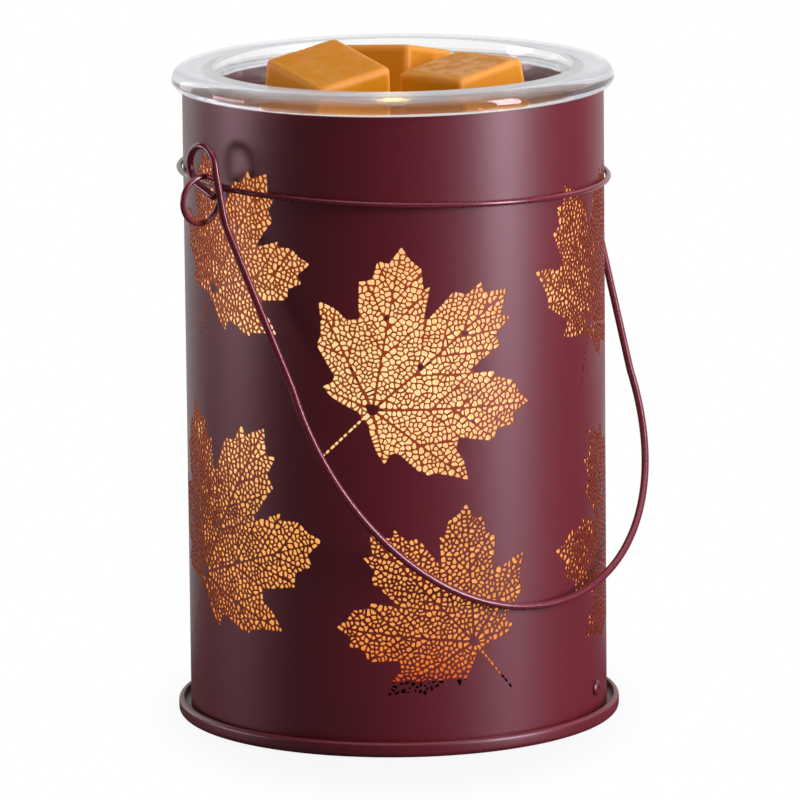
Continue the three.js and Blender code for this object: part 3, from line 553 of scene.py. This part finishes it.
# The corners of a slot are shares of its half length and its half width
stem_turn, stem_start, stem_length = 184, 1.9, 19
slot_corners = ((-1, -0.5), (-0.6, -1), (0.6, -1), (1, -0.5), (1, 0.5), (0.6, 1), (-0.6, 1), (-1, 0.5))
slot_half_length, slot_half_width, slot_land = (0.45, 0.8), (0.24, 0.34), (0.25, 0.55)


def stem_slots(size, draw):
    """The row of short slots that makes the stem, opposite the leaf's axis"""
    way = np.array((math.cos(math.radians(stem_turn)), math.sin(math.radians(stem_turn))))
    across = np.array((-way[1], way[0]))
    slots, at = [], stem_start
    while at < stem_length * size:
        long, half = draw.uniform(*slot_half_length), draw.uniform(*slot_half_width)
        slots.append(np.array([way * (at + long * u) + across * half * v for u, v in slot_corners]))
        at += 2 * long + draw.uniform(*slot_land)
    return slots


# Spacing of the cells and half width of the veins between them, higher up and low down
low_leaf_height, upper_net, lower_net = 40, (1.0, 0.14), (0.96, 0.2)
draw = random.Random(7)
holes = []
for turn, rise, lean, size, face in leaves:
    c, s = math.cos(math.radians(lean)), math.sin(math.radians(lean))
    spacing, fine = upper_net if rise > low_leaf_height else lower_net
    for cell in leaf_net(size, spacing, fine, draw) + stem_slots(size, draw):
        x, y = cell[:, 0], cell[:, 1] * face
        hole = np.column_stack((x * c - y * s + math.radians(turn) * drum_radius, x * s + y * c + rise))
        ahead = np.roll(hole, -1, 0)
        turns_left = (hole[:, 0] * ahead[:, 1] - ahead[:, 0] * hole[:, 1]).sum() > 0
        holes.append(hole if turns_left else hole[::-1])

# Bores for the two rivets and the cord gland
rivet_turns, rivet_height, rivet_bore = (31.5, 211.5), 9, 1.5
gland_turn, gland_height, gland_bore, bore_sides = 180, 10, 4.0, 24
for turn, height, radius in (
    [(turn, rivet_height, rivet_bore) for turn in rivet_turns] + [(gland_turn, gland_height, gland_bore)]
):
    middle = np.array((math.radians(turn) * drum_radius, height))
    holes.append(np.array([middle + radius * np.array((math.cos(a), math.sin(a)))
                           for a in np.arange(bore_sides) * math.pi * 2 / bore_sides]))

# The sheet is laid flat, with its ends between two leaves, and divided round its holes
seam_turn, columns, rows, square = -132.5, 144, 46, 1.6
seam = math.radians(seam_turn) * drum_radius
girth = 2 * math.pi * drum_radius
across = seam + np.linspace(0, girth, columns + 1)
rises = np.linspace(drum_bottom, drum_top, rows + 1)
sheet_edge = (
    [(u, rises[0]) for u in across] + [(across[-1], z) for z in rises[1:]]
    + [(u, rises[-1]) for u in across[-2::-1]] + [(across[0], z) for z in rises[-2:0:-1]])
flat_points = [Vector(p) for p in sheet_edge]
flat_edges = [(i, (i + 1) % len(sheet_edge)) for i in range(len(sheet_edge))]
taken = {(int((u - seam) // square), int(z // square)) for hole in holes for u, z in hole}
for u in across[1:-1]:
    for z in rises[1:-1]:
        i, j = int((u - seam) // square), int(z // square)
        if not any((i + m, j + n) in taken for m in (-1, 0, 1) for n in (-1, 0, 1)):
            flat_points.append(Vector((u, z)))
plain_points = len(flat_points)
flat_holes = []
for hole in holes:
    flat_holes.append(list(range(len(flat_points), len(flat_points) + len(hole))))
    flat_points += [Vector(p) for p in hole]
flat, _, triangles, _, _, inside = delaunay_2d_cdt(flat_points, flat_edges, flat_holes, 0, 1e-5)
triangles = np.array([t for t, within_hole in zip(triangles, inside) if not within_hole])
flat = np.array([tuple(p) for p in flat])

# Its two ends are joined by giving the last column the first one's corners
first_column = {round(z, 3): i for i, (u, z) in enumerate(flat) if abs(u - seam) < 1e-4}
joined = np.arange(len(flat))
for i, (u, z) in enumerate(flat):
    if abs(u - seam - girth) < 1e-3:
        joined[i] = first_column[round(z, 3)]
triangles = joined[triangles]
used, triangles = np.unique(triangles, return_inverse=True)
triangles = triangles.reshape(-1, 3)
flat = flat[used]
by_hole = used >= plain_points
corners_flat = flat[triangles]
longest_side = np.linalg.norm(corners_flat - np.roll(corners_flat, 1, 1), axis=2).max(1)

# Then it is rolled: an outer and an inner skin, and walls where either has a rim
turns = flat[:, 0] / drum_radius
radial = np.column_stack((np.sin(turns), -np.cos(turns), np.zeros(len(turns))))
skins = [radial * radius + np.column_stack((turns * 0, turns * 0, flat[:, 1]))
         for radius in (drum_radius, drum_radius - drum_sheet)]
sides = np.concatenate((triangles[:, [0, 1]], triangles[:, [1, 2]], triangles[:, [2, 0]]))
keys = {tuple(side) for side in sides}
rim_start, rim_end = np.array([side for side in sides if (side[1], side[0]) not in keys]).T
walls = np.column_stack((rim_end, rim_start, rim_start + len(flat), rim_end + len(flat)))
drum_faces = triangles.tolist() + (triangles[:, ::-1] + len(flat)).tolist() + walls.tolist()
drum_corners = np.concatenate(skins) * mm
drum_mesh = bpy.data.meshes.new("pierced_drum")
drum_mesh.from_pydata(drum_corners.tolist(), [], drum_faces)

# The coated skins keep the drum's own curve in their normals, and the cut edges stay crisp
first, second, _, fourth = (drum_corners[walls[:, k]] for k in range(4))
wall_across = np.cross(second - first, fourth - first)
wall_across /= np.linalg.norm(wall_across, axis=1)[:, None]
drum_normals = np.concatenate((
    radial[triangles.ravel()], -radial[triangles[:, ::-1].ravel()], np.repeat(wall_across, 4, 0)))
drum_mesh.shade_smooth()
drum_mesh.normals_split_custom_set(drum_normals.tolist())

# The cut edges and fine struts have a warmer tone and an orange emission, a painted glow for the inside
# light on them, most at the left and higher up
lit_side, lit_side_starts, lit_side_full = -62, 0.2, 0.85
cut_edge = graded(
    "cut_edge_painted_glow", tone(118, 40, 28), tone(104, 34, 24), 3, 0.3, (0.4, 0.55), 0.05,
    Emission_Color=tone(232, 110, 30))
strut = graded(
    "strut_painted_glow", tone(110, 34, 28), tone(94, 28, 22), 4, 0.4, (0.4, 0.5), 0.1,
    Emission_Color=tone(214, 92, 22))
drum_mesh.materials.append(burgundy)

# Heights between which the painted glow on each sets in, and its least and most strength
for look, low, high, least, most in ((cut_edge, 19, 26, 0.0, 0.12), (strut, 62, 84, 0.06, 0.32)):
    tree = look.node_tree
    place = node(tree, "TexCoord").outputs["Object"]
    height = node(tree, "SeparateXYZ", {0: place}).outputs["Z"]
    lit = ranged(tree, height, low * mm, high * mm, least, most)
    side = projected(tree, place, on_turn(lit_side, 1 / (drum_radius * mm), 0))
    painted_glow_strength = combined(tree, "MULTIPLY", lit, ranged(tree, side, lit_side_starts, lit_side_full, 0.3))
    feed(tree, tree.nodes["Principled BSDF"], {"Emission Strength": painted_glow_strength})
    drum_mesh.materials.append(look)

# Fine struts are the short faces between holes, above the platform's skirt; they take the struts' painted
# glow
lowest_lit, widest_strut = 21, 1.5
slots = np.zeros(len(drum_faces), np.int32)
slots[2 * len(triangles):] = 1
in_net = (flat[:, 1] > lowest_lit)[triangles].all(1) & by_hole[triangles].all(1)
slots[:len(triangles)][in_net & (longest_side < widest_strut)] = 2
drum_mesh.polygons.foreach_set("material_index", slots)
drum_mesh.update()
pierced_drum = bpy.data.objects.new("pierced_drum", drum_mesh)
bpy.context.scene.collection.objects.link(pierced_drum)
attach(pierced_drum, "housing")
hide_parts("drum_wall")


# Rivets
# Two blind rivets fix the drum's foot to the skirt of the platform. Their heads are
# coated with it, and each has the small dark hole of its mandrel in the middle.
head_radius, head_height, mandrel_radius, shank_radius = 2.1, 0.85, 0.5, 1.2
blind_side, blind_end = -2.1, -2.7
rivet_line = eased([
    (0, -0.6), (mandrel_radius, -0.6), (mandrel_radius, head_height, 0.1), (1.5, 0.8, 0.6),
    (head_radius, 0.3), (shank_radius, 0.3), (shank_radius, blind_side), (1.8, blind_side),
    (1.6, blind_end, 0.2), (0, blind_end),
])
for i, turn in enumerate(rivet_turns):
    place = (Matrix.Translation(on_turn(turn, drum_radius, rivet_height))
             @ Matrix.Rotation(math.radians(turn), 4, "Z") @ Matrix.Rotation(math.pi / 2, 4, "X"))
    made(f"domed_rivet_{i + 1}", turned(rivet_line, 32), burgundy, "housing",
         (f"wall_rivet_{i + 1}",), place=place)


# Diffuser liner
# A sleeve of frosted film just inside the drum, lit by the bulb. Its outer face glows
# pale yellow at the bulb's level, and a deeper amber above, below and toward the right.
film_outer, film_inner, film_foot = 53.7, 53.2, 19.4
glow_foot, glow_top = 19, 155
liner_film, tree = plain_look("lit_film")
place = node(tree, "TexCoord").outputs
height = node(tree, "SeparateXYZ", {0: place["Object"]}).outputs["Z"]
glow = node(tree, "ValToRGB", {"Fac": ranged(tree, height, glow_foot * mm, glow_top * mm)})
ramp = glow.color_ramp
ramp.elements[0].position, ramp.elements[0].color = 0.0, tone(206, 66, 24)
ramp.elements[1].position, ramp.elements[1].color = 1.0, tone(238, 170, 104)
for share, colour in (
    (0.03, tone(236, 124, 50)), (0.1, tone(242, 164, 84)), (0.2, tone(246, 176, 96)),
    (0.32, tone(248, 184, 104)), (0.42, tone(253, 212, 142)), (0.52, tone(255, 228, 162)),
    (0.66, tone(255, 226, 158)), (0.78, tone(252, 206, 138)), (0.9, tone(246, 186, 118)),
):
    stop = ramp.elements.new(share)
    stop.color = colour
side = projected(tree, place["Object"], on_turn(lit_side, 1 / (film_outer * mm), 0))
far_share = ranged(tree, side, 0.95, 0.45, 0.0, 0.6, "SMOOTHSTEP")
film_tone = mixed(tree, far_share, glow.outputs["Color"], tone(232, 150, 76))
cloud = node(tree, "TexNoise", {"Vector": place["Object"], "Scale": 60})
strength = ranged(tree, cloud.outputs["Fac"], 0.0, 1.0, 0.76, 1.06)
outside = combined(tree, "GREATER_THAN", projected(tree, place["Object"], place["Normal"]), 0.0)
feed(tree, tree.nodes["Principled BSDF"], {
    "Roughness": 0.7, "Base Color": film_tone, "Emission Color": film_tone,
    "Emission Strength": combined(tree, "MULTIPLY", outside, strength),
})
liner_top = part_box("diffuser_liner")[1].z / mm
liner_line = [
    (film_inner, film_foot), (film_outer, film_foot), (film_outer, liner_top), (film_inner, liner_top)]
made("film_sleeve", turned(liner_line, 120), liner_film, "housing", ("diffuser_liner",))


# Hoop
# A coated wire round the drum under its rim. It is twisted into a full eye at each
# side for the bail, and its ends meet at the back.
wire_paint = graded(
    "burgundy_wire_coat", tone(118, 34, 48), tone(104, 28, 40), 20, 0.4, (0.2, 0.3), 0.1,
    Specular_IOR_Level=0.7)
hoop_wire_radius, hoop_clearance = 0.73, 0.3
hoop_radius = drum_radius + hoop_clearance + hoop_wire_radius
hoop_height, hoop_tilt, hoop_high_turn = 142.9, 1.77, -125
eye_height, eye_reach, eye_radius, eye_strand_step, eye_leave = 142.0, 62.4, 6.1, 1.9, 6


def swept(points, radius, sides):
    """Corners and faces of a round wire through points, with domed ends"""
    line = [Vector(p) for p in points]
    ways = [(b - a).normalized() for a, b in zip(line, line[1:])]
    ways = [ways[0]] + [(a + b).normalized() for a, b in zip(ways, ways[1:])] + [ways[-1]]
    across = ways[0].orthogonal().normalized()
    rings = []
    for point, way in zip(line, ways):
        across = (across - way * across.dot(way)).normalized()
        rings.append((point, across, way.cross(across), radius))
    dome = [(math.sin(a), math.cos(a)) for a in (math.radians(d) for d in (30, 60, 80))]
    start, end = rings[0], rings[-1]
    for out, share in dome:
        rings.insert(0, (start[0] - ways[0] * radius * out, start[1], start[2], radius * share))
        rings.append((end[0] + ways[-1] * radius * out, end[1], end[2], radius * share))
    corners, faces = [], []
    for point, u, v, reach in rings:
        for k in range(sides):
            a = 2 * math.pi * k / sides
            corners.append(tuple(point + (u * math.cos(a) + v * math.sin(a)) * reach))
    for r in range(len(rings) - 1):
        for k in range(sides):
            m = (k + 1) % sides
            faces.append((r * sides + k, r * sides + m, (r + 1) * sides + m, (r + 1) * sides + k))
    faces.append(tuple(range(sides)))
    faces.append(tuple(range((len(rings) - 1) * sides, len(rings) * sides)))
    return corners, faces


def hoop_level(degrees):
    """The height of the tilted hoop at a turn round the drum"""
    return hoop_height + hoop_tilt * math.cos(math.radians(degrees - hoop_high_turn))


def hoop_arc(start, end, steps):
    """Points of the hoop from one turn round the drum to another"""
    turns = [start + (end - start) * k / steps for k in range(steps + 1)]
    return [on_turn(turn, hoop_radius, hoop_level(turn)) for turn in turns]


def eye_loop(side, enter, steps=40):
    """The full turn of an eye at one side, whose strands step past each other"""
    first = math.asin((hoop_level(side * 90) - eye_height) / eye_radius)
    loop = []
    for k in range(steps + 1):
        turn = first + 2 * math.pi * k / steps
        loop.append((
            side * (eye_reach - eye_radius * math.cos(turn)),
            enter * eye_strand_step * (0.5 - k / steps),
            eye_height + eye_radius * math.sin(turn)))
    return loop


hoop_end_room = 0.5
hoop_end = math.degrees(hoop_end_room / hoop_radius)
hoop_points = (
    hoop_arc(180 - hoop_end, 90 + eye_leave, 40) + eye_loop(1, 1)
    + hoop_arc(90 - eye_leave, eye_leave - 90, 80) + eye_loop(-1, -1)
    + hoop_arc(-90 - eye_leave, -180 + hoop_end, 40))
made("coated_hoop", swept(hoop_points, hoop_wire_radius, 14), wire_paint, "housing",
     ("hoop_wire",), crease=60)


# Bail
# The carrying handle: a thicker coated wire with a ring at each end through the
# eyes, two straight legs and a round sweep that rests against the front of the drum.
bail_wire_radius, bail_clearance, bail_bend, bail_bend_round, bail_skew = 0.97, 0.3, 14.1, 3.5, 4.6
ring_reach, ring_radius, ring_lift, tail_turn, tail_length = 61.2, 5.3, 2.5, 314, 6.5
bail_reach, bail_leg_end, bail_shoulder, bail_power = 124.66, 63.08, 54.3, 2.05
hinge_height = eye_height + eye_radius
bail_lean = math.asin((drum_radius + bail_clearance + bail_wire_radius) / bail_reach)

# Where the leg leaves the ring, and how steeply it slants out to its bend
ring_leave = math.acos(ring_radius / (bail_bend + ring_lift))
ring_end = ring_radius * math.cos(ring_leave) - ring_lift
leg_slant = ring_radius * math.sin(ring_leave) / (bail_bend - ring_end)


def bail_point(x, down, out):
    """A point in the bail's leaning plane, and so far out from it"""
    return (x, -down * math.sin(bail_lean) - out * math.cos(bail_lean),
            hinge_height - down * math.cos(bail_lean) + out * math.sin(bail_lean))


def ring_point(side, turn, beyond=0.0):
    """A point of a ring, or on the straight tail that runs on from it"""
    return bail_point(
        side * ring_reach, ring_radius * math.cos(turn) - ring_lift - beyond * math.sin(turn),
        ring_radius * math.sin(turn) + beyond * math.cos(turn))


def leg_point(side, down):
    """A point of a leg, which slants out of the ring and then follows the bail's plane"""
    past = (bail_bend - down) / bail_bend_round
    if past < -1:
        out = 0
    elif past > 1:
        out = leg_slant * (bail_bend - down)
    else:
        out = leg_slant * (bail_bend_round * (past + 1) ** 2 / 4)
    on_leg = max(down, 0) / bail_leg_end
    return bail_point(side * (ring_reach + (bail_shoulder - ring_reach) * on_leg),
                      down + side * bail_skew * on_leg, out)


def bail_side(side, ring_steps=40, leg_steps=40):
    """The tail, ring and leg of one side"""
    tail = math.radians(tail_turn)
    points = [ring_point(side, tail, tail_length * k / 4) for k in (4, 3, 2, 1)]
    points += [ring_point(side, tail + (ring_leave - tail) * k / ring_steps)
               for k in range(ring_steps + 1)]
    points += [leg_point(side, ring_end + (bail_leg_end - ring_end) * k / leg_steps)
               for k in range(1, leg_steps + 1)]
    return points


bail_sweep, sweep_steps = [], 90
for k in range(1, sweep_steps):
    turn = math.pi * k / sweep_steps
    x = -math.copysign(bail_shoulder * abs(math.cos(turn)) ** (2 / bail_power), math.cos(turn))
    down = bail_leg_end + (bail_reach - bail_leg_end) * math.sin(turn) ** (2 / bail_power)
    bail_sweep.append(bail_point(x, down + bail_skew * x / bail_shoulder, 0))
bail_points = bail_side(-1) + bail_sweep + bail_side(1)[::-1]
made("coated_bail", swept(bail_points, bail_wire_radius, 16), wire_paint, "bail",
     ("bail_handle",), crease=60)


# Reflector bulb
# A halogen bulb with a moulded glass reflector, silvered inside, a front glass and
# a small lit capsule. Its two studded pins twist into the lampholder.
cap_foot, cap_shoulder, cap_top, cap_radius, bowl_foot_radius = 64.5, 77.5, 84.5, 8.3, 12.2
bowl_flare, bowl_depth, bowl_wall, bowl_floor, bowl_steps = 12.8, 28, 1.3, 86.5, 12
window_radius, window_foot, window_top = 25, 112.6, 114.1
burner_radius, burner_top = 4, 104.5
mirror = graded(
    "silvered_glass", tone(226, 228, 232), tone(206, 208, 214), 3, 0.4, (0.08, 0.18), 0.1,
    Metallic=1.0)
bulb_ceramic = graded(
    "bulb_base_ceramic", tone(240, 238, 232), tone(230, 226, 218), 4, 0.3, (0.4, 0.55), 0.08)
front_glass = graded(
    "front_glass", tone(250, 252, 252), tone(246, 250, 250), 20, 2, (0.02, 0.05), 0.02, IOR=1.47,
    Transmission_Weight=1.0)
capsule_glow = graded(
    "lit_capsule", tone(255, 236, 190), tone(255, 224, 160), 4, 1, (0.2, 0.3), 0.02,
    Emission_Color=tone(255, 214, 140), Emission_Strength=4.0)
cap_line = eased([
    (0, cap_foot), (cap_radius, cap_foot, 0.5), (cap_radius, cap_shoulder, 1.2),
    (bowl_foot_radius, cap_top), (0, cap_top)])
made("bulb_cap", turned(cap_line, 64), bulb_ceramic, "bulb", ("bulb_base",))
bowl = [(bowl_foot_radius + bowl_flare * math.sqrt(k / bowl_steps), cap_top + bowl_depth * k / bowl_steps)
        for k in range(bowl_steps + 1)]
bowl_line = (
    [(0, cap_top)] + bowl + [(r - bowl_wall, z) for r, z in bowl[:1:-1]]
    + [(11.0, bowl_floor), (0, bowl_floor)])
made("bulb_bowl", turned(bowl_line, 72), mirror, "bulb", ("bulb_reflector",))
window_line = eased([
    (0, window_foot), (window_radius, window_foot, 0.3), (window_radius, window_top, 0.7),
    (0, window_top)])
made("bulb_window", turned(window_line, 72), front_glass, "bulb", ("bulb_front_glass",))
burner_line = eased([
    (0, bowl_floor), (burner_radius, bowl_floor, 0.4), (burner_radius, burner_top, 3.9),
    (0, burner_top)])
made("bulb_burner", turned(burner_line, 40), capsule_glow, "bulb", ("bulb_capsule",))
painted(plated, "bulb_pin_1", "bulb_pin_2")


# Glass dish
# A heavy pressed-glass dish drops into the drum and holds the wax over the bulb. Its thick
# flange, rounded at the edge, rests on the rim. Its upward faces carry a painted white glow, an emission
# mixed into the glass.
dish_top, dish_radius, flange_foot = 170.6, 57.2, 165.4
well_radius, well_floor, well_floor_radius = 46.3, 144.8, 43.6
well_foot, well_foot_radius, well_neck_radius = 140.8, 46.8, 49.5
painted_white_inner, painted_white_outer = 45, 48
dish_glass = graded(
    "pressed_glass", tone(252, 253, 253), tone(249, 251, 251), 40, 9, (0.0, 0.025), 0.03, IOR=1.5,
    Transmission_Weight=1.0)
tree = dish_glass.node_tree
place = node(tree, "TexCoord").outputs
# Painted white glow: the flange's upward faces mix in a pale emission, most toward the outer part and
# where they face up
level = node(tree, "VectorMath", {0: place["Object"], 1: (1, 1, 0)}, operation="MULTIPLY")
on_flange = ranged(tree, length_of(tree, level.outputs["Vector"]), painted_white_inner * mm, painted_white_outer * mm)
upward = node(tree, "SeparateXYZ", {0: place["Normal"]}).outputs["Z"]
painted_white = combined(tree, "MULTIPLY", on_flange, ranged(tree, upward, 0.2, 0.95, 0.03, 0.34))
straight = node(tree, "BsdfTransparent", {"Color": (0.985, 0.99, 0.99, 1)})
half_clear = node(tree, "MixShader", {
    0: 0.15, 1: tree.nodes["Principled BSDF"].outputs[0], 2: straight.outputs[0]})
painted_white_glow = node(tree, "Emission", {"Color": (0.93, 0.95, 1.0, 1), "Strength": 0.95})
veiled = node(tree, "MixShader", {0: painted_white, 1: half_clear.outputs[0], 2: painted_white_glow.outputs[0]})
feed(tree, tree.nodes["Material Output"], {"Surface": veiled.outputs[0]})
dish_line = eased([
    (0, well_foot), (well_foot_radius, well_foot, 4.0), (well_neck_radius, flange_foot, 0.5),
    (dish_radius, flange_foot, 1.9), (dish_radius, dish_top, 3.2), (well_radius, dish_top, 0.9),
    (well_floor_radius, well_floor, 4.0), (0, well_floor),
], step=7)
made("pressed_dish", turned(dish_line, 192), dish_glass, "dish", ("glass_dish",),
     crease=50)


# Wax cubes
# Three scented wax cubes broken from a moulded bar, with a slight draft, soft edges
# and tops paler in patches, put down loosely on the floor of the well.
def wax_block(top, foot, tall, soft, grid=16):
    """A block of wax, drafted toward its top, with round edges: its corners, its faces, and
    how much of the painted edge highlight each corner takes, most on the round edges"""
    corners, faces, index = [], [], {}
    for axis in range(3):
        for side in (-1, 1):
            for i in range(grid):
                for j in range(grid):
                    face = []
                    for m, n in ((i, j), (i + 1, j), (i + 1, j + 1), (i, j + 1)):
                        spot = [0, 0, 0]
                        spot[axis] = side * grid
                        spot[(axis + 1) % 3] = 2 * m - grid
                        spot[(axis + 2) % 3] = 2 * n - grid
                        spot = tuple(spot)
                        if spot not in index:
                            index[spot] = len(corners)
                            corners.append(spot)
                        face.append(index[spot])
                    faces.append(tuple(face) if side > 0 else tuple(reversed(face)))
    half = np.array((foot / 2, foot / 2, tall / 2))
    shaped, edge_highlight = [], []
    for spot in corners:
        point = np.array([math.sin(c / grid * math.pi / 2) for c in spot]) * half
        core = np.clip(point, soft - half, half - soft)
        away = point - core
        length = np.linalg.norm(away)
        if length > 1e-9:
            point = core + away / length * soft
        rise = (point[2] + tall / 2) / tall
        point[:2] *= 1 + (top / foot - 1) * rise
        point[2] += tall / 2
        shaped.append(point)
        edge_highlight.append(min(1.0, 2.4 * np.sort(np.abs(away))[1] / soft))
    return shaped, faces, edge_highlight


wax, tree = plain_look("amber_wax")
place = node(tree, "TexCoord").outputs
swirl = node(tree, "TexNoise", {
    "Vector": place["Object"], "Scale": 90, "Detail": 5, "Distortion": 0.6}).outputs["Fac"]
amber = mixed(tree, swirl, tone(168, 108, 8), tone(188, 130, 16))
pits = node(tree, "TexNoise", {"Vector": place["Object"], "Scale": 500, "Detail": 3})
dents = node(tree, "Bump", {"Height": pits.outputs["Fac"], "Strength": 0.25, "Distance": 0.4 * mm})

# The tops are paler in patches, less of it toward the left. The round edges are painted paler, a painted
# highlight
pale_top_left = -8
upward = node(tree, "SeparateXYZ", {0: place["Normal"]}).outputs["Z"]
patches = node(tree, "TexNoise", {"Vector": place["Object"], "Scale": 260, "Detail": 4}).outputs["Fac"]
across = node(tree, "SeparateXYZ", {0: place["Object"]}).outputs["X"]
pale_top = combined(
    tree, "MULTIPLY", ranged(tree, patches, 0.42, 0.62, 0.0, 0.6),
    ranged(tree, across, pale_top_left * mm, 0.0, 0.3))
pale_top = combined(tree, "MULTIPLY", ranged(tree, upward, 0.85, 1.0), pale_top)
with_pale_top = mixed(tree, pale_top, amber, tone(212, 180, 134))
# Painted highlight: the round edges of the wax are mixed toward a pale orange
edge_highlight_share = node(tree, "Attribute", attribute_name="edge_highlight").outputs["Fac"]
edged = mixed(tree, combined(tree, "MULTIPLY", edge_highlight_share, 0.32), with_pale_top, tone(240, 186, 112))
# The wax has a weak orange emission, a painted glow for the bulb's light that comes up through the glass
feed(tree, tree.nodes["Principled BSDF"], {
    "Base Color": edged,
    "Roughness": ranged(tree, swirl, 0.0, 1.0, 0.4, 0.6),
    "Normal": dents.outputs["Normal"],
    "Specular IOR Level": 0.18,
    "Subsurface Weight": 0.35,
    "Subsurface Radius": (1.0, 0.45, 0.12),
    "Subsurface Scale": 4 * mm,
    "Emission Color": tone(204, 118, 16),
    "Emission Strength": 0.3,
})

# Place in the well and lift over its floor, as shares, then the spin and the two tilts
cube_foot, cube_top, cube_soft, cube_gap = 25, 23, 1.6, 0.3
for name, x_share, y_share, lift_share, spin, tilt_x, tilt_y in (
    ("left", -0.4456, 0.046, 0.191, 2.1, 14.7, -8.4),
    ("rear", 0.1235, 0.1823, 0.1285, 21.6, -8, 9),
    ("right", 0.2315, -0.408, 0.0815, 6.2, 0, -8.8),
):
    # The turns about X, Y and Z follow the order of the CAD, which is Z first
    place = (Matrix.Translation((
        x_share * well_radius, y_share * well_radius, well_floor + cube_gap + lift_share * cube_foot))
             @ Matrix.Rotation(math.radians(tilt_x), 4, "X")
             @ Matrix.Rotation(math.radians(tilt_y), 4, "Y")
             @ Matrix.Rotation(math.radians(spin), 4, "Z"))
    corners, faces, edge_highlight = wax_block(cube_top, cube_foot, cube_foot, cube_soft)
    block = made(f"wax_block_{name}", (corners, faces), wax, "dish",
                 (f"wax_cube_{name}",), crease=80, place=place)
    block.data.attributes.new("edge_highlight", "FLOAT", "POINT").data.foreach_set("value", edge_highlight)
